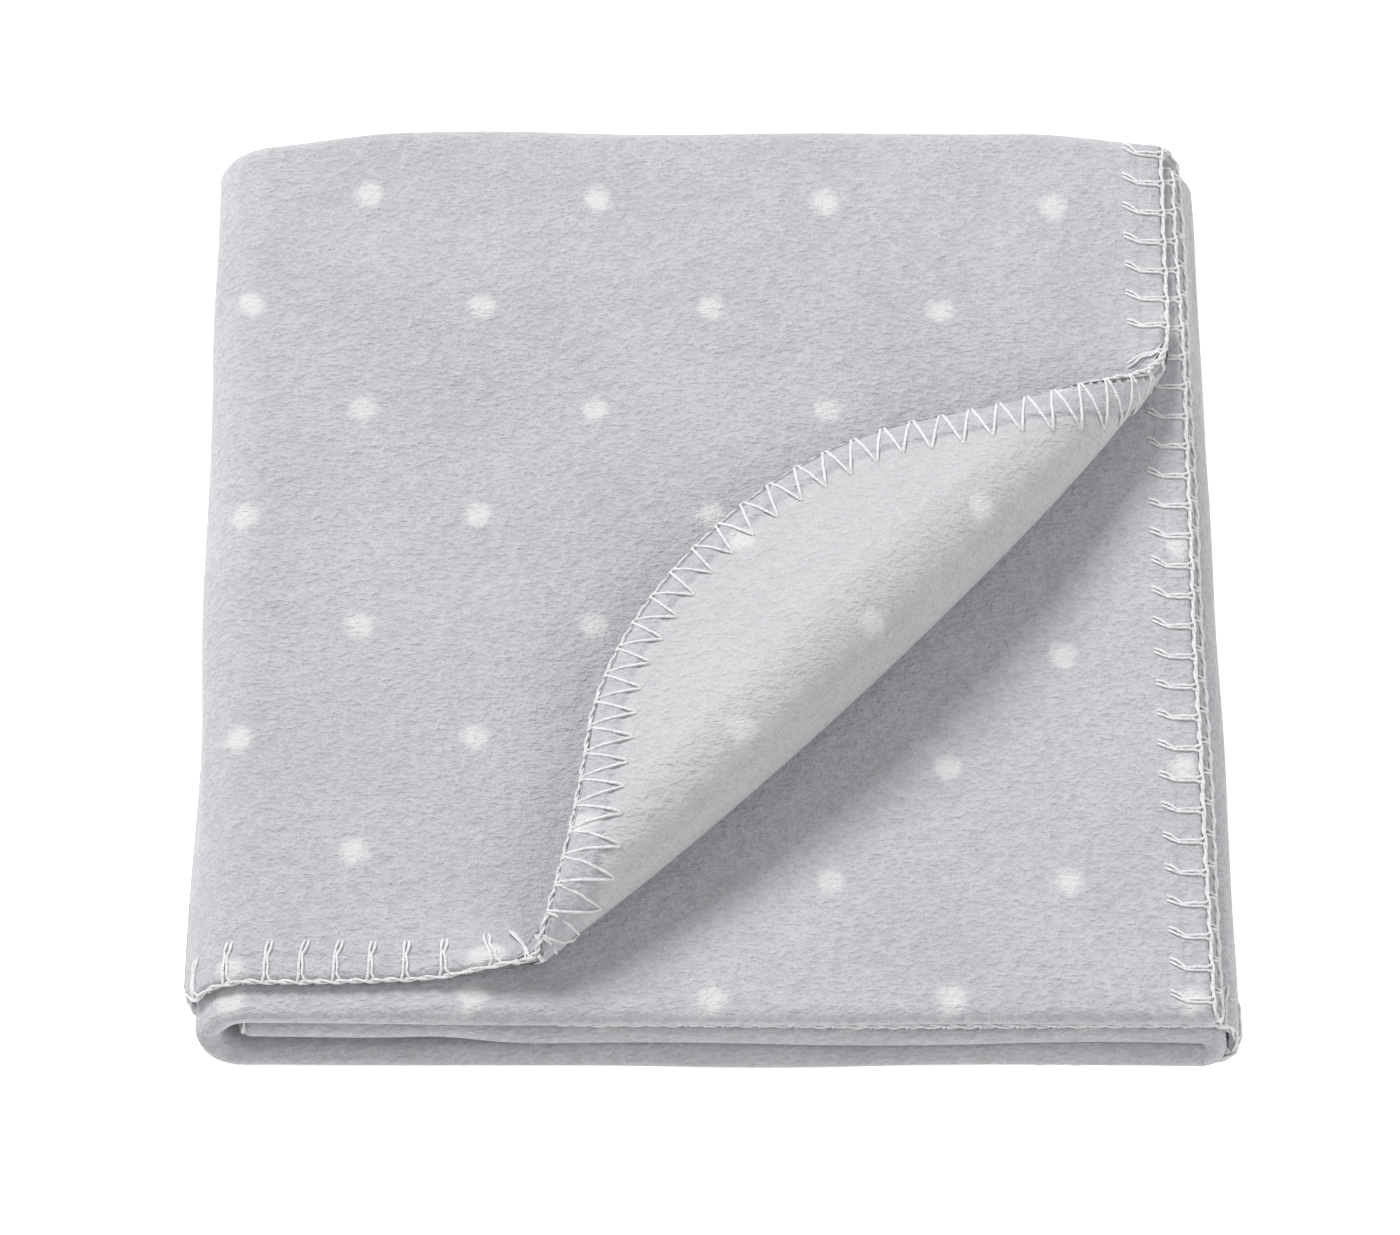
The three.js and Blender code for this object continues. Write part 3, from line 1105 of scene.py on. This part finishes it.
@dataclass
class YarnPiece:
    """All the yarn of one part of the throw.

    Attributes:
        name: Name of the piece.
        hems: The cut edges that it stitches.
        stitch: The stitch.
    """

    name: str
    hems: tuple[Hem, ...]
    stitch: BlanketStitch = field(default_factory=BlanketStitch)

    def build(self) -> bpy.types.Object:
        """Makes the yarn.

        Returns:
            The piece, without its finish.
        """
        curve = bpy.data.curves.new(self.name, "CURVE")
        curve.dimensions = "3D"
        curve.bevel_depth = self.stitch.strand * MM
        curve.bevel_resolution = 1
        curve.use_fill_caps = True
        for hem in self.hems:
            for strand in self.stitch.strands(hem):
                spline = curve.splines.new("POLY")
                spline.points.add(len(strand) - 1)
                for target, point in zip(spline.points, strand, strict=True):
                    target.co = (*(point * MM), 1)
        drawn = bpy.data.objects.new(self.name, curve)
        bpy.context.scene.collection.objects.link(drawn)
        data = bpy.data.meshes.new_from_object(drawn)
        bpy.data.objects.remove(drawn)
        data.shade_smooth()
        piece = bpy.data.objects.new(self.name, data)
        bpy.context.scene.collection.objects.link(piece)
        return piece


# ---------------------------------------------------------------------------------------------------------
# Finishes
# ---------------------------------------------------------------------------------------------------------


class Socket:
    """A value socket of a material that can be used in Python expressions."""

    def __init__(self, recipe: "Recipe", output: bpy.types.NodeSocket) -> None:
        """Wraps an output socket of a recipe's material."""
        self.recipe = recipe
        self.output = output

    def _math(self, operation: str, first: "Value", second: "Value") -> "Socket":
        """Adds a Math node.

        Args:
            operation: Its operation.
            first: Its first value.
            second: Its second value.

        Returns:
            Its result.
        """
        return self.recipe.node("ShaderNodeMath", {"operation": operation}, {0: first, 1: second})

    def __add__(self, other: "Value") -> "Socket":
        """Adds."""
        return self._math("ADD", self, other)

    def __radd__(self, other: "Value") -> "Socket":
        """Adds, reflected."""
        return self._math("ADD", other, self)

    def __sub__(self, other: "Value") -> "Socket":
        """Subtracts."""
        return self._math("SUBTRACT", self, other)

    def __rsub__(self, other: "Value") -> "Socket":
        """Subtracts, reflected."""
        return self._math("SUBTRACT", other, self)

    def __mul__(self, other: "Value") -> "Socket":
        """Multiplies."""
        return self._math("MULTIPLY", self, other)

    def __rmul__(self, other: "Value") -> "Socket":
        """Multiplies, reflected."""
        return self._math("MULTIPLY", other, self)

    def __truediv__(self, other: "Value") -> "Socket":
        """Divides."""
        return self._math("DIVIDE", self, other)

    def __pow__(self, other: "Value") -> "Socket":
        """Raises to a power."""
        return self._math("POWER", self, other)

    def __abs__(self) -> "Socket":
        """Drops the sign."""
        return self.recipe.node("ShaderNodeMath", {"operation": "ABSOLUTE"}, {0: self})

    def __mod__(self, other: "Value") -> "Socket":
        """Wraps round, always to a value that isn't negative."""
        return self._math("FLOORED_MODULO", self, other)

    def least(self, other: "Value") -> "Socket":
        """Returns the smaller value."""
        return self._math("MINIMUM", self, other)


Value = Socket | float
Colour = tuple[float, float, float]


class Recipe:
    """A material being made."""

    def __init__(self, name: str) -> None:
        """Starts a material with only its output.

        Args:
            name: Name of the material.
        """
        self.material = bpy.data.materials.new(name)
        self.material.use_nodes = True
        self.tree = self.material.node_tree
        self.tree.nodes.clear()

    def node(
        self,
        kind: str,
        settings: dict[str, object] | None = None,
        inputs: dict[str | int, object] | None = None,
        output: str | int = 0,
    ) -> Socket:
        """Adds a node.

        Args:
            kind: The node's type.
            settings: Its settings, set first.
            inputs: Values or links of its sockets.
            output: Name or number of the wanted output.

        Returns:
            That output.
        """
        node = self.tree.nodes.new(kind)
        for key, value in (settings or {}).items():
            setattr(node, key, value)
        for key, value in (inputs or {}).items():
            if isinstance(value, Socket):
                self.tree.links.new(value.output, node.inputs[key])
            else:
                node.inputs[key].default_value = value
        return Socket(self, node.outputs[output])

    def noise(self, place: Socket, scale: float, detail: float = 2.0, rough: float = 0.5) -> Socket:
        """Adds a noise texture.

        Args:
            place: Where the pattern is read.
            scale: Waves in one unit of that place.
            detail: Octaves.
            rough: Strength of the finer octaves.

        Returns:
            The pattern, about 0 to 1.
        """
        inputs = {"Vector": place, "Scale": scale, "Detail": detail, "Roughness": rough}
        return self.node("ShaderNodeTexNoise", None, inputs, "Fac")

    def range(self, value: Value, low: float, high: float, to_low: float, to_high: float) -> Socket:
        """Maps a range of values to another smoothly, and holds both ends.

        Args:
            value: The value.
            low: Value that gives to_low.
            high: Value that gives to_high.
            to_low: First result.
            to_high: Last result.

        Returns:
            The mapped value.
        """
        settings = {"interpolation_type": "SMOOTHSTEP"}
        inputs = {0: value, 1: low, 2: high, 3: to_low, 4: to_high}
        return self.node("ShaderNodeMapRange", settings, inputs)

    def mix(self, share: Value, first: Colour | Socket, second: Colour | Socket) -> Socket:
        """Mixes two colours.

        Args:
            share: How much of the second.
            first: The first colour.
            second: The second colour.

        Returns:
            The mixed colour.
        """
        ready = [colour if isinstance(colour, Socket) else (*colour, 1.0) for colour in (first, second)]
        inputs = {0: share, 6: ready[0], 7: ready[1]}
        return self.node("ShaderNodeMix", {"data_type": "RGBA"}, inputs, 2)

    def vector(self, operation: str, first: object, second: object) -> Socket:
        """Adds a Vector Math node.

        Args:
            operation: Its operation.
            first: Its first vector.
            second: Its second vector.

        Returns:
            Its vector.
        """
        return self.node("ShaderNodeVectorMath", {"operation": operation}, {0: first, 1: second})

    def bump(self, height: Socket, depth: float, below: Socket | None = None) -> Socket:
        """Adds relief.

        Args:
            height: Its height, about 0 to 1.
            depth: What a height of 1 stands for, in metres.
            below: Relief that this one lies on.

        Returns:
            The normal.
        """
        inputs: dict[str | int, object] = {"Strength": 1.0, "Distance": depth, "Height": height}
        if below is not None:
            inputs["Normal"] = below
        return self.node("ShaderNodeBump", None, inputs)

    def surface(self, inputs: dict[str | int, object]) -> bpy.types.Material:
        """Closes the material.

        Args:
            inputs: Values and links of the surface shader.

        Returns:
            The finished material.
        """
        shader = self.node("ShaderNodeBsdfPrincipled", None, inputs)
        end = self.tree.nodes.new("ShaderNodeOutputMaterial")
        self.tree.links.new(shader.output, end.inputs["Surface"])
        return self.material


@dataclass(frozen=True)
class Fleece:
    """Double-faced fleece, printed on both sides with soft dots in a staggered lattice.

    Attributes:
        ground: Colour of the cloth.
        shade: Colour of its deeper pile.
        reverse: Colour of the back of the cloth, which is a little paler.
        reverse_shade: Colour of the deeper pile on the back.
        dot: Colour of the dots.
        column: From one dot to the next in a row, in millimetres.
        row: From one row to the next but one.
        first_dot: One dot's place, left to right and front to back.
        dot_radius: Radius of a dot.
        dot_fade: How far inside and outside that radius a dot's edge fades.
        dot_cover: How much of the ground a dot hides.
        hem_width: Width of the hem, which is turned in to the reverse.
        seam_painted_shade: How much darker the tone is painted in the groove along the hem, as painted shade.
        seam_deep: How deep that groove is, as a share of the clumps' relief.
        pile_waves: Waves of the finest pile in a metre.
        grain_waves: Waves of the brushed grain in a metre, along each axis.
        clump_waves: Waves of the clumped pile in a metre.
        cloud_waves: Waves of the broad patches in a metre.
        tones: Mottle that gives the deep colour, and mottle that gives the pale one.
        relief: Height of the clumps, the grain and the pile, in metres.
    """

    ground: Colour = (0.607, 0.612, 0.634)
    shade: Colour = (0.485, 0.489, 0.511)
    reverse: Colour = (0.638, 0.642, 0.658)
    reverse_shade: Colour = (0.560, 0.564, 0.582)
    dot: Colour = (0.765, 0.770, 0.780)
    column: float = 68.6
    row: float = 73.6
    first_dot: tuple[float, float] = (-35.7, -20.4)
    dot_radius: float = 4.1
    dot_fade: tuple[float, float] = (2.2, 1.6)
    dot_cover: float = 0.9
    hem_width: float = 8.0
    seam_painted_shade: float = 0.12
    seam_deep: float = 0.25
    pile_waves: float = 1500.0
    grain_waves: tuple[float, float, float] = (430.0, 860.0, 760.0)
    clump_waves: float = 230.0
    cloud_waves: float = 26.0
    tones: tuple[float, float] = (0.40, 0.605)
    relief: tuple[float, float, float] = (0.0009, 0.0007, 0.0003)

    def build(self) -> bpy.types.Material:
        """Makes the material.

        Returns:
            The material, which reads the cloth_place attribute of its piece.
        """
        recipe = Recipe("fleece")
        settings = {"attribute_name": "cloth_place"}
        printed = recipe.node("ShaderNodeAttribute", settings, None, "Vector")
        solid = recipe.node("ShaderNodeTexCoord", None, None, "Object")
        pile = recipe.noise(solid, self.pile_waves, rough=0.6)
        grain = recipe.noise(recipe.vector("MULTIPLY", solid, self.grain_waves), 1.0, rough=0.6)
        clumps = recipe.noise(solid, self.clump_waves)
        cloud = recipe.noise(solid, self.cloud_waves)
        mottle = 0.32 * pile + 0.36 * grain + 0.16 * clumps + 0.16 * cloud
        tone = recipe.range(mottle, *self.tones, 0.0, 1.0)
        face = recipe.node("ShaderNodeSeparateXYZ", None, {0: printed}, "Z")
        inward = abs(face) - 1
        inside = recipe.range(inward, self.hem_width, self.hem_width + 1.2, 0.0, 1.0)
        seam = recipe.range(abs(inward - self.hem_width - 0.3), 0.0, 1.8, 1.0, 0.0)
        back = recipe.range(face, -0.6, 0.2, 1.0, 0.0) * inside
        deep = recipe.mix(back, self.shade, self.reverse_shade)
        pale = recipe.mix(back, self.ground, self.reverse)
        # The groove along the hem is darkened in the colour as painted shade; its real dip is in the relief
        # below.
        cloth = recipe.mix(tone - self.seam_painted_shade * seam, deep, pale)
        coloured = recipe.mix(self._dots(recipe, printed, solid), cloth, self.dot)
        clump_height, grain_height, pile_height = self.relief
        soft = recipe.bump(clumps - self.seam_deep * seam, clump_height)
        rough = recipe.bump(grain, grain_height, soft)
        relief = recipe.bump(pile, pile_height, rough)
        return recipe.surface(
            {
                "Base Color": coloured,
                "Roughness": 0.95,
                "Sheen Weight": 0.35,
                "Sheen Roughness": 0.6,
                "Specular IOR Level": 0.15,
                "Normal": relief,
            }
        )

    def _dots(self, recipe: Recipe, printed: Socket, solid: Socket) -> Socket:
        """Returns 1 inside the dots and 0 outside, with the soft uneven edge that print has on pile.

        Args:
            recipe: The material.
            printed: Place in the printed cloth, in millimetres.
            solid: Place in space, in metres.
        """
        uneven = recipe.node(
            "ShaderNodeTexNoise", None, {"Vector": solid, "Scale": 420.0, "Detail": 2.0}, "Color"
        )
        shift = recipe.vector("MULTIPLY", recipe.vector("SUBTRACT", uneven, (0.5, 0.5, 0.5)), (3.6, 3.6, 0))
        moved = recipe.vector("ADD", printed, shift)
        x = recipe.node("ShaderNodeSeparateXYZ", None, {0: moved}, "X")
        y = recipe.node("ShaderNodeSeparateXYZ", None, {0: moved}, "Y")
        first_x, first_y = self.first_dot
        distances = []
        for stagger in (0.0, 0.5):
            from_x = (x - first_x + (0.5 + stagger) * self.column) % self.column - self.column / 2
            from_y = (y - first_y + (0.5 + stagger) * self.row) % self.row - self.row / 2
            distances.append((from_x * from_x + from_y * from_y) ** 0.5)
        nearest = distances[0].least(distances[1])
        inside, outside = self.dot_fade
        return recipe.range(nearest, self.dot_radius - inside, self.dot_radius + outside, self.dot_cover, 0.0)


@dataclass(frozen=True)
class Yarn:
    """Soft white edging yarn, loosely twisted."""

    light: Colour = (0.95, 0.953, 0.96)
    dark: Colour = (0.84, 0.845, 0.86)

    def build(self) -> bpy.types.Material:
        """Makes the material."""
        recipe = Recipe("yarn")
        solid = recipe.node("ShaderNodeTexCoord", None, None, "Object")
        fibres = recipe.noise(solid, 1900.0, 3.0, 0.6)
        twist = recipe.noise(recipe.vector("MULTIPLY", solid, (900.0, 900.0, 1500.0)), 1.0, 1.0)
        colour = recipe.mix(recipe.range(fibres, 0.3, 0.65, 0.0, 1.0), self.dark, self.light)
        relief = recipe.bump(fibres, 0.0003, recipe.bump(twist, 0.0006))
        return recipe.surface(
            {
                "Base Color": colour,
                "Roughness": 0.85,
                "Sheen Weight": 0.25,
                "Sheen Roughness": 0.5,
                "Specular IOR Level": 0.2,
                "Normal": relief,
            }
        )


@dataclass(frozen=True)
class Paper:
    """The studio's seamless white floor."""

    white: Colour = (0.93, 0.93, 0.93)
    glow: float = 0.58

    def build(self) -> bpy.types.Material:
        """Makes the material."""
        recipe = Recipe("paper")
        return recipe.surface(
            {
                "Base Color": (*self.white, 1.0),
                "Roughness": 0.9,
                "Specular IOR Level": 0.1,
                "Emission Color": (*self.white, 1.0),
                "Emission Strength": self.glow,
            }
        )


# ---------------------------------------------------------------------------------------------------------
# The throw and its studio
# ---------------------------------------------------------------------------------------------------------


# How far to each side of the left fold's centre FoldedThrow._fix puts the start and end points of a seam, as
# a share of the pitch.
SEAM_REACH = 0.6


@dataclass
class FoldedThrow:
    """The whole throw: four pieces of cloth that meet at hidden seams, and the yarn on their cut edges.

    Attributes:
        folding: How it is folded.
        corner: Its turned corner.
    """

    folding: Folding = field(default_factory=Folding)
    corner: Corner = field(init=False)

    def __post_init__(self) -> None:
        """Shapes the corner from the folding."""
        self.corner = Corner(self.folding)

    def build(self) -> None:
        """Makes, dresses and fixes every piece."""
        fleece = Fleece().build()
        yarn = Yarn().build()
        pieces = {
            "cloth_cover": self._cover_cloth(),
            "cloth_corner": TurnedCloth(self.corner).build(),
            "cloth_tucked": self._tucked_cloth(),
            "cloth_base": self._base_cloth(),
            "yarn_cover": YarnPiece("yarn_cover", self._cover_hems()).build(),
            "yarn_corner": YarnPiece("yarn_corner", self._corner_hems()).build(),
            "yarn_tucked": YarnPiece("yarn_tucked", self._tucked_hems()).build(),
            "yarn_base": YarnPiece("yarn_base", self._base_hems()).build(),
        }
        for name, piece in pieces.items():
            is_cloth = name.startswith("cloth")
            piece.data.materials.clear()
            piece.data.materials.append(fleece if is_cloth else yarn)
            self._fix(piece, name.split("_")[1])
            log.info("%s: %d faces", name, len(piece.data.polygons))
        self._declare()

    def _fix(self, piece: bpy.types.Object, part: str) -> None:
        """Bakes a piece of the base, the cover or the corner into place, and hangs any other piece on the
        base body.

        Args:
            piece: The piece.
            part: The part of the throw that it belongs to.
        """
        left_x, left_z = self.folding.left
        centre = Vector((left_x, 0, left_z))
        inner = SEAM_REACH * self.folding.pitch
        if part == "base":
            start = centre + inner * Vector((1, 0, -1))
            end = centre + inner * Vector((-1, 0, 1))
            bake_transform(piece)
        elif part == "cover":
            start = centre - inner * Vector((1, 0, 1))
            end = centre + inner * Vector((1, 0, 1))
            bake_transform(piece)
        elif part == "corner":
            corner = self.corner
            middle = corner.foot(corner.length / 2)
            side = middle + corner.across * corner.full
            start = Vector((*side, self.folding.top + corner.full))
            end = Vector((*middle, self.folding.top + 2 * corner.full))
            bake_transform(piece)
        else:
            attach(piece, "base")

    def _declare(self) -> None:
        folding = self.folding
        layers = ("outer_panel", "middle_panel", "inner_panel", "back_fold", "front_roll")
        side = ("outer", "middle", "inner", "back_fold", "front_roll")
        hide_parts(*(f"base_{layer}" for layer in layers))
        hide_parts(*(f"left_fold_{layer}" for layer in side))
        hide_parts(*(f"tucked_{layer}" for layer in layers))
        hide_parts(*(f"right_fold_{layer}" for layer in side))
        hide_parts(*(f"cover_{layer}" for layer in layers))
        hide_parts("corner_curl", "corner_flap")
        ends = ("outer_end_stitching", "middle_end_stitching", "inner_end_stitching")
        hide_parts("base_front_stitching", "base_back_stitching")
        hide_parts("left_fold_front_stitching", "left_fold_back_stitching")
        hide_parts("tucked_front_stitching", "tucked_back_stitching")
        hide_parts("right_fold_front_stitching", "right_fold_back_stitching")
        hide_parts(*(f"tucked_{end}" for end in ends))
        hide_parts("cover_front_stitching", "cover_back_stitching")
        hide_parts(*(f"cover_{end}" for end in ends))
        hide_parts("corner_stitching")

        length = folding.back - folding.fronts[0] + folding.last
        quarter = QUARTER_TURN * folding.left_reach
        right_arc = HALF_TURN * folding.right_reach
        corner_reach = self.corner.reach(self.corner.length / 2)
        widths = {
            "cover": folding.panel_width + quarter,
            "base": folding.right[0] - folding.left[0] + quarter,
            "tucked": folding.right[0] - folding.tucked_end + right_arc,
        }
        for part, width in widths.items():
            turned = self._corner_area() if part == "cover" else 0.0
            area = (width * length - turned) * MM * MM
            width * MM
            length * MM
        self.corner.length * MM
        corner_reach * MM
        self._corner_area() * MM * MM

    def _corner_area(self, steps: int = 200) -> float:
        """Returns the area of the turned cloth in square millimetres, summed over narrow strips."""
        width = self.corner.length / steps
        return sum(self.corner.reach((index + 0.5) * width) * width for index in range(steps))

    def _cover_cloth(self) -> bpy.types.Object:
        """Makes the cover's cloth and the upper half of the left fold."""
        widths = (Stretch(THIRD_CELLS, Lie.COVER), Stretch(HALF_LEFT_CELLS, Lie.LEFT_FOLD, end=0.5))
        rims = Rims(first_column=True, first_row=True, last_row=True)
        return ClothThird("cloth_cover", self.folding, widths, rims, self.corner).build()

    def _base_cloth(self) -> bpy.types.Object:
        """Makes the base's cloth and the lower half of the left fold."""
        widths = (Stretch(HALF_LEFT_CELLS, Lie.LEFT_FOLD, start=0.5), Stretch(THIRD_CELLS, Lie.BASE))
        rims = Rims(first_row=True, last_row=True)
        return ClothThird("cloth_base", self.folding, widths, rims).build()

    def _tucked_cloth(self) -> bpy.types.Object:
        """Makes the right fold and the tucked third's cloth."""
        widths = (Stretch(RIGHT_CELLS, Lie.RIGHT_FOLD), Stretch(THIRD_CELLS, Lie.TUCKED))
        rims = Rims(last_column=True, first_row=True, last_row=True)
        return ClothThird("cloth_tucked", self.folding, widths, rims).build()

    def _front_hem(self, lie: Lie, start: float, end: float, length: float) -> Hem:
        """Returns a stretch of the front cut edge.

        Args:
            lie: The stretch of the width.
            start: Where the hem starts on it, from 0 to 1.
            end: Where it ends, from 0 to 1.
            length: Its length.
        """
        folding = self.folding

        def at(distance: float, inward: float, offset: float) -> Vector:
            """Places a point of the hem."""
            share = start + (end - start) * distance / length
            front = folding.front_edge(lie, share)
            return folding.place(lie, share, front - folding.back + inward, offset)

        return Hem(length, at, way=FRONT_WAY)

    def _back_hem(self, lie: Lie, start: float, end: float, length: float) -> Hem:
        """Returns a stretch of the middle layer's back cut edge; see _front_hem for the arguments."""
        folding = self.folding

        def at(distance: float, inward: float, offset: float) -> Vector:
            """Places a point of the hem."""
            share = start + (end - start) * distance / length
            return folding.place(lie, share, folding.last - inward, offset)

        return Hem(length, at)

    def _end_hem(self, lie: Lie, share: float, first: float, last: float) -> Hem:
        """Returns a stretch of the right or left cut edge, at one end of the cloth's width.

        Args:
            lie: The stretch of the width that ends there.
            share: 0 for the start of the stretch, 1 for its end.
            first: Where the hem starts along the cloth's length.
            last: Where it ends.
        """
        folding = self.folding
        inwards = 1 if share == 0 else -1

        def at(distance: float, inward: float, offset: float) -> Vector:
            """Places a point of the hem."""
            place = share + inwards * inward / folding.panel_width
            return folding.place(lie, place, first + distance, offset)

        return Hem(last - first, at, step=END_STEP)

    def _cover_hems(self) -> tuple[Hem, ...]:
        """Returns the cover's cut edges."""
        folding = self.folding
        width = folding.panel_width
        to_turn = folding.turn_front.x - folding.left[0]
        arc = QUARTER_TURN * folding.left_reach
        middle_arc = QUARTER_TURN * (folding.left_reach - folding.pitch)
        return (
            self._front_hem(Lie.COVER, 1 - to_turn / width, 1.0, to_turn),
            self._front_hem(Lie.LEFT_FOLD, 0.0, 0.5, arc),
            self._back_hem(Lie.COVER, 0.0, 1.0, width),
            self._back_hem(Lie.LEFT_FOLD, 0.0, 0.5, middle_arc),
            self._end_hem(Lie.COVER, 0.0, folding.turn_right.y - folding.back, folding.last),
        )

    def _base_hems(self) -> tuple[Hem, ...]:
        """Returns the base's cut edges."""
        folding = self.folding
        width = folding.right[0] - folding.left[0]
        arc = QUARTER_TURN * folding.left_reach
        middle_arc = QUARTER_TURN * (folding.left_reach - folding.pitch)
        return (
            self._front_hem(Lie.LEFT_FOLD, 0.5, 1.0, arc),
            self._front_hem(Lie.BASE, 0.0, 1.0, width),
            self._back_hem(Lie.LEFT_FOLD, 0.5, 1.0, middle_arc),
            self._back_hem(Lie.BASE, 0.0, 1.0, width),
        )

    def _tucked_hems(self) -> tuple[Hem, ...]:
        """Returns the right fold's and the tucked third's cut edges."""
        folding = self.folding
        width = folding.right[0] - folding.tucked_end
        arc = HALF_TURN * folding.right_reach
        middle_arc = HALF_TURN * (folding.right_reach - folding.pitch)
        first = folding.front_edge(Lie.TUCKED, 1.0) - folding.back
        return (
            self._front_hem(Lie.RIGHT_FOLD, 0.0, 1.0, arc),
            self._front_hem(Lie.TUCKED, 0.0, 1.0, width),
            self._back_hem(Lie.RIGHT_FOLD, 0.0, 1.0, middle_arc),
            self._back_hem(Lie.TUCKED, 0.0, 1.0, width),
            self._end_hem(Lie.TUCKED, 1.0, first, folding.last),
        )

    def _corner_hems(self, steps: int = 400) -> tuple[Hem, ...]:
        """Returns the turned corner's cut edge, measured along its outline.

        Args:
            steps: How many short pieces the outline is measured in.
        """
        corner = self.corner
        outline = []
        for index in range(steps + 1):
            along = corner.length * index / steps
            outline.append(corner.foot(along) + corner.across * corner.reach(along))
        distances = [0.0]
        for first, second in zip(outline, outline[1:]):
            distances.append(distances[-1] + (second - first).length)
        total = distances[-1]

        def on_outline(distance: float) -> tuple[Vector, Vector]:
            """Returns a point of the outline in the flat cloth and the direction inwards."""
            held = min(max(distance, 0.0), total)
            index = next((i for i in range(1, steps) if distances[i] >= held), steps)
            low, high = distances[index - 1], distances[index]
            point = outline[index - 1].lerp(outline[index], (held - low) / max(high - low, 1e-9))
            ahead = (outline[min(index + 2, steps)] - outline[max(index - 3, 0)]).normalized()
            return point, Vector((ahead.y, -ahead.x))

        def at(distance: float, inward: float, offset: float) -> Vector:
            """Places a point of the hem."""
            point, inwards = on_outline(distance)
            flat = point + inwards * inward - corner.folding.turn_right
            past_line = flat.dot(corner.across)
            return corner.place(flat.dot(corner.along), past_line, offset)

        return (Hem(total, at, step=END_STEP),)


@dataclass(frozen=True)
class Lamp:
    """A soft lamp.

    Attributes:
        name: Name of the lamp.
        place: Where it stands, in metres.
        size: Width of its face.
        power: In watts.
    """

    name: str
    place: tuple[float, float, float]
    size: float
    power: float

    def build(self) -> None:
        """Makes the lamp and turns it to the throw."""
        light = bpy.data.lights.new(self.name, "AREA")
        light.shape = "DISK"
        light.size = self.size
        light.energy = self.power
        lamp = bpy.data.objects.new(self.name, light)
        lamp.location = self.place
        lamp.rotation_euler = (-Vector(self.place)).to_track_quat("-Z", "Y").to_euler()
        bpy.context.scene.collection.objects.link(lamp)


@dataclass(frozen=True)
class Studio:
    """A white floor, soft lamps and the camera.

    Attributes:
        target: What the camera looks at, in metres.
        distance: From the target to the camera.
        elevation: Of the camera, in degrees.
        lens: Of the camera, in millimetres.
        sensor: Width of the camera's sensor, in millimetres.
        far: How far the camera sees.
        floor: Half the width of the floor, in millimetres.
        glow: Strength of the white room.
    """

    target: tuple[float, float, float] = (-0.0047, -0.0102, 0.020)
    distance: float = 2.2
    elevation: float = 62.0
    lens: float = 192.0
    sensor: float = 36.0
    far: float = 20.0
    floor: float = 3000.0
    glow: float = 0.34

    def build(self) -> None:
        """Makes the floor, the room, the lamps and the camera."""
        self._floor()
        self._room()
        Lamp("window", (-1.8, 2.0, 3.0), 1.7, 134.0).build()
        Lamp("fill", (1.2, -0.6, 1.3), 1.4, 9.2).build()
        self._camera()

    def _floor(self) -> None:
        """Makes the floor."""
        mesh = bmesh.new()
        bmesh.ops.create_grid(mesh, x_segments=1, y_segments=1, size=self.floor)
        floor = finish_mesh(mesh, "floor")
        floor.data.materials.append(Paper().build())

    def _room(self) -> None:
        """Makes the white room's light and sets plain colour."""
        scene = bpy.context.scene
        world = bpy.data.worlds.new("room")
        world.use_nodes = True
        background = world.node_tree.nodes["Background"]
        background.inputs["Color"].default_value = (1.0, 1.0, 1.0, 1.0)
        background.inputs["Strength"].default_value = self.glow
        scene.world = world
        scene.view_settings.view_transform = "Standard"
        scene.view_settings.look = "None"

    def _camera(self) -> None:
        """Makes the camera."""
        camera = bpy.data.cameras.new("camera")
        camera.lens = self.lens
        camera.sensor_width = self.sensor
        camera.clip_end = self.far
        holder = bpy.data.objects.new("camera", camera)
        tilt = math.radians(self.elevation)
        away = Vector((0, -math.cos(tilt), math.sin(tilt))) * self.distance
        holder.location = Vector(self.target) + away
        holder.rotation_euler = (QUARTER_TURN - tilt, 0, 0)
        bpy.context.scene.collection.objects.link(holder)
        bpy.context.scene.camera = holder


def main() -> None:
    """Builds the throw and its studio."""
    logging.basicConfig(level=logging.INFO, format="%(message)s")
    noise.seed_set(STITCH_SEED)
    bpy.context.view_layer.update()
    FoldedThrow().build()
    Studio().build()


if __name__ == "__main__":
    main()
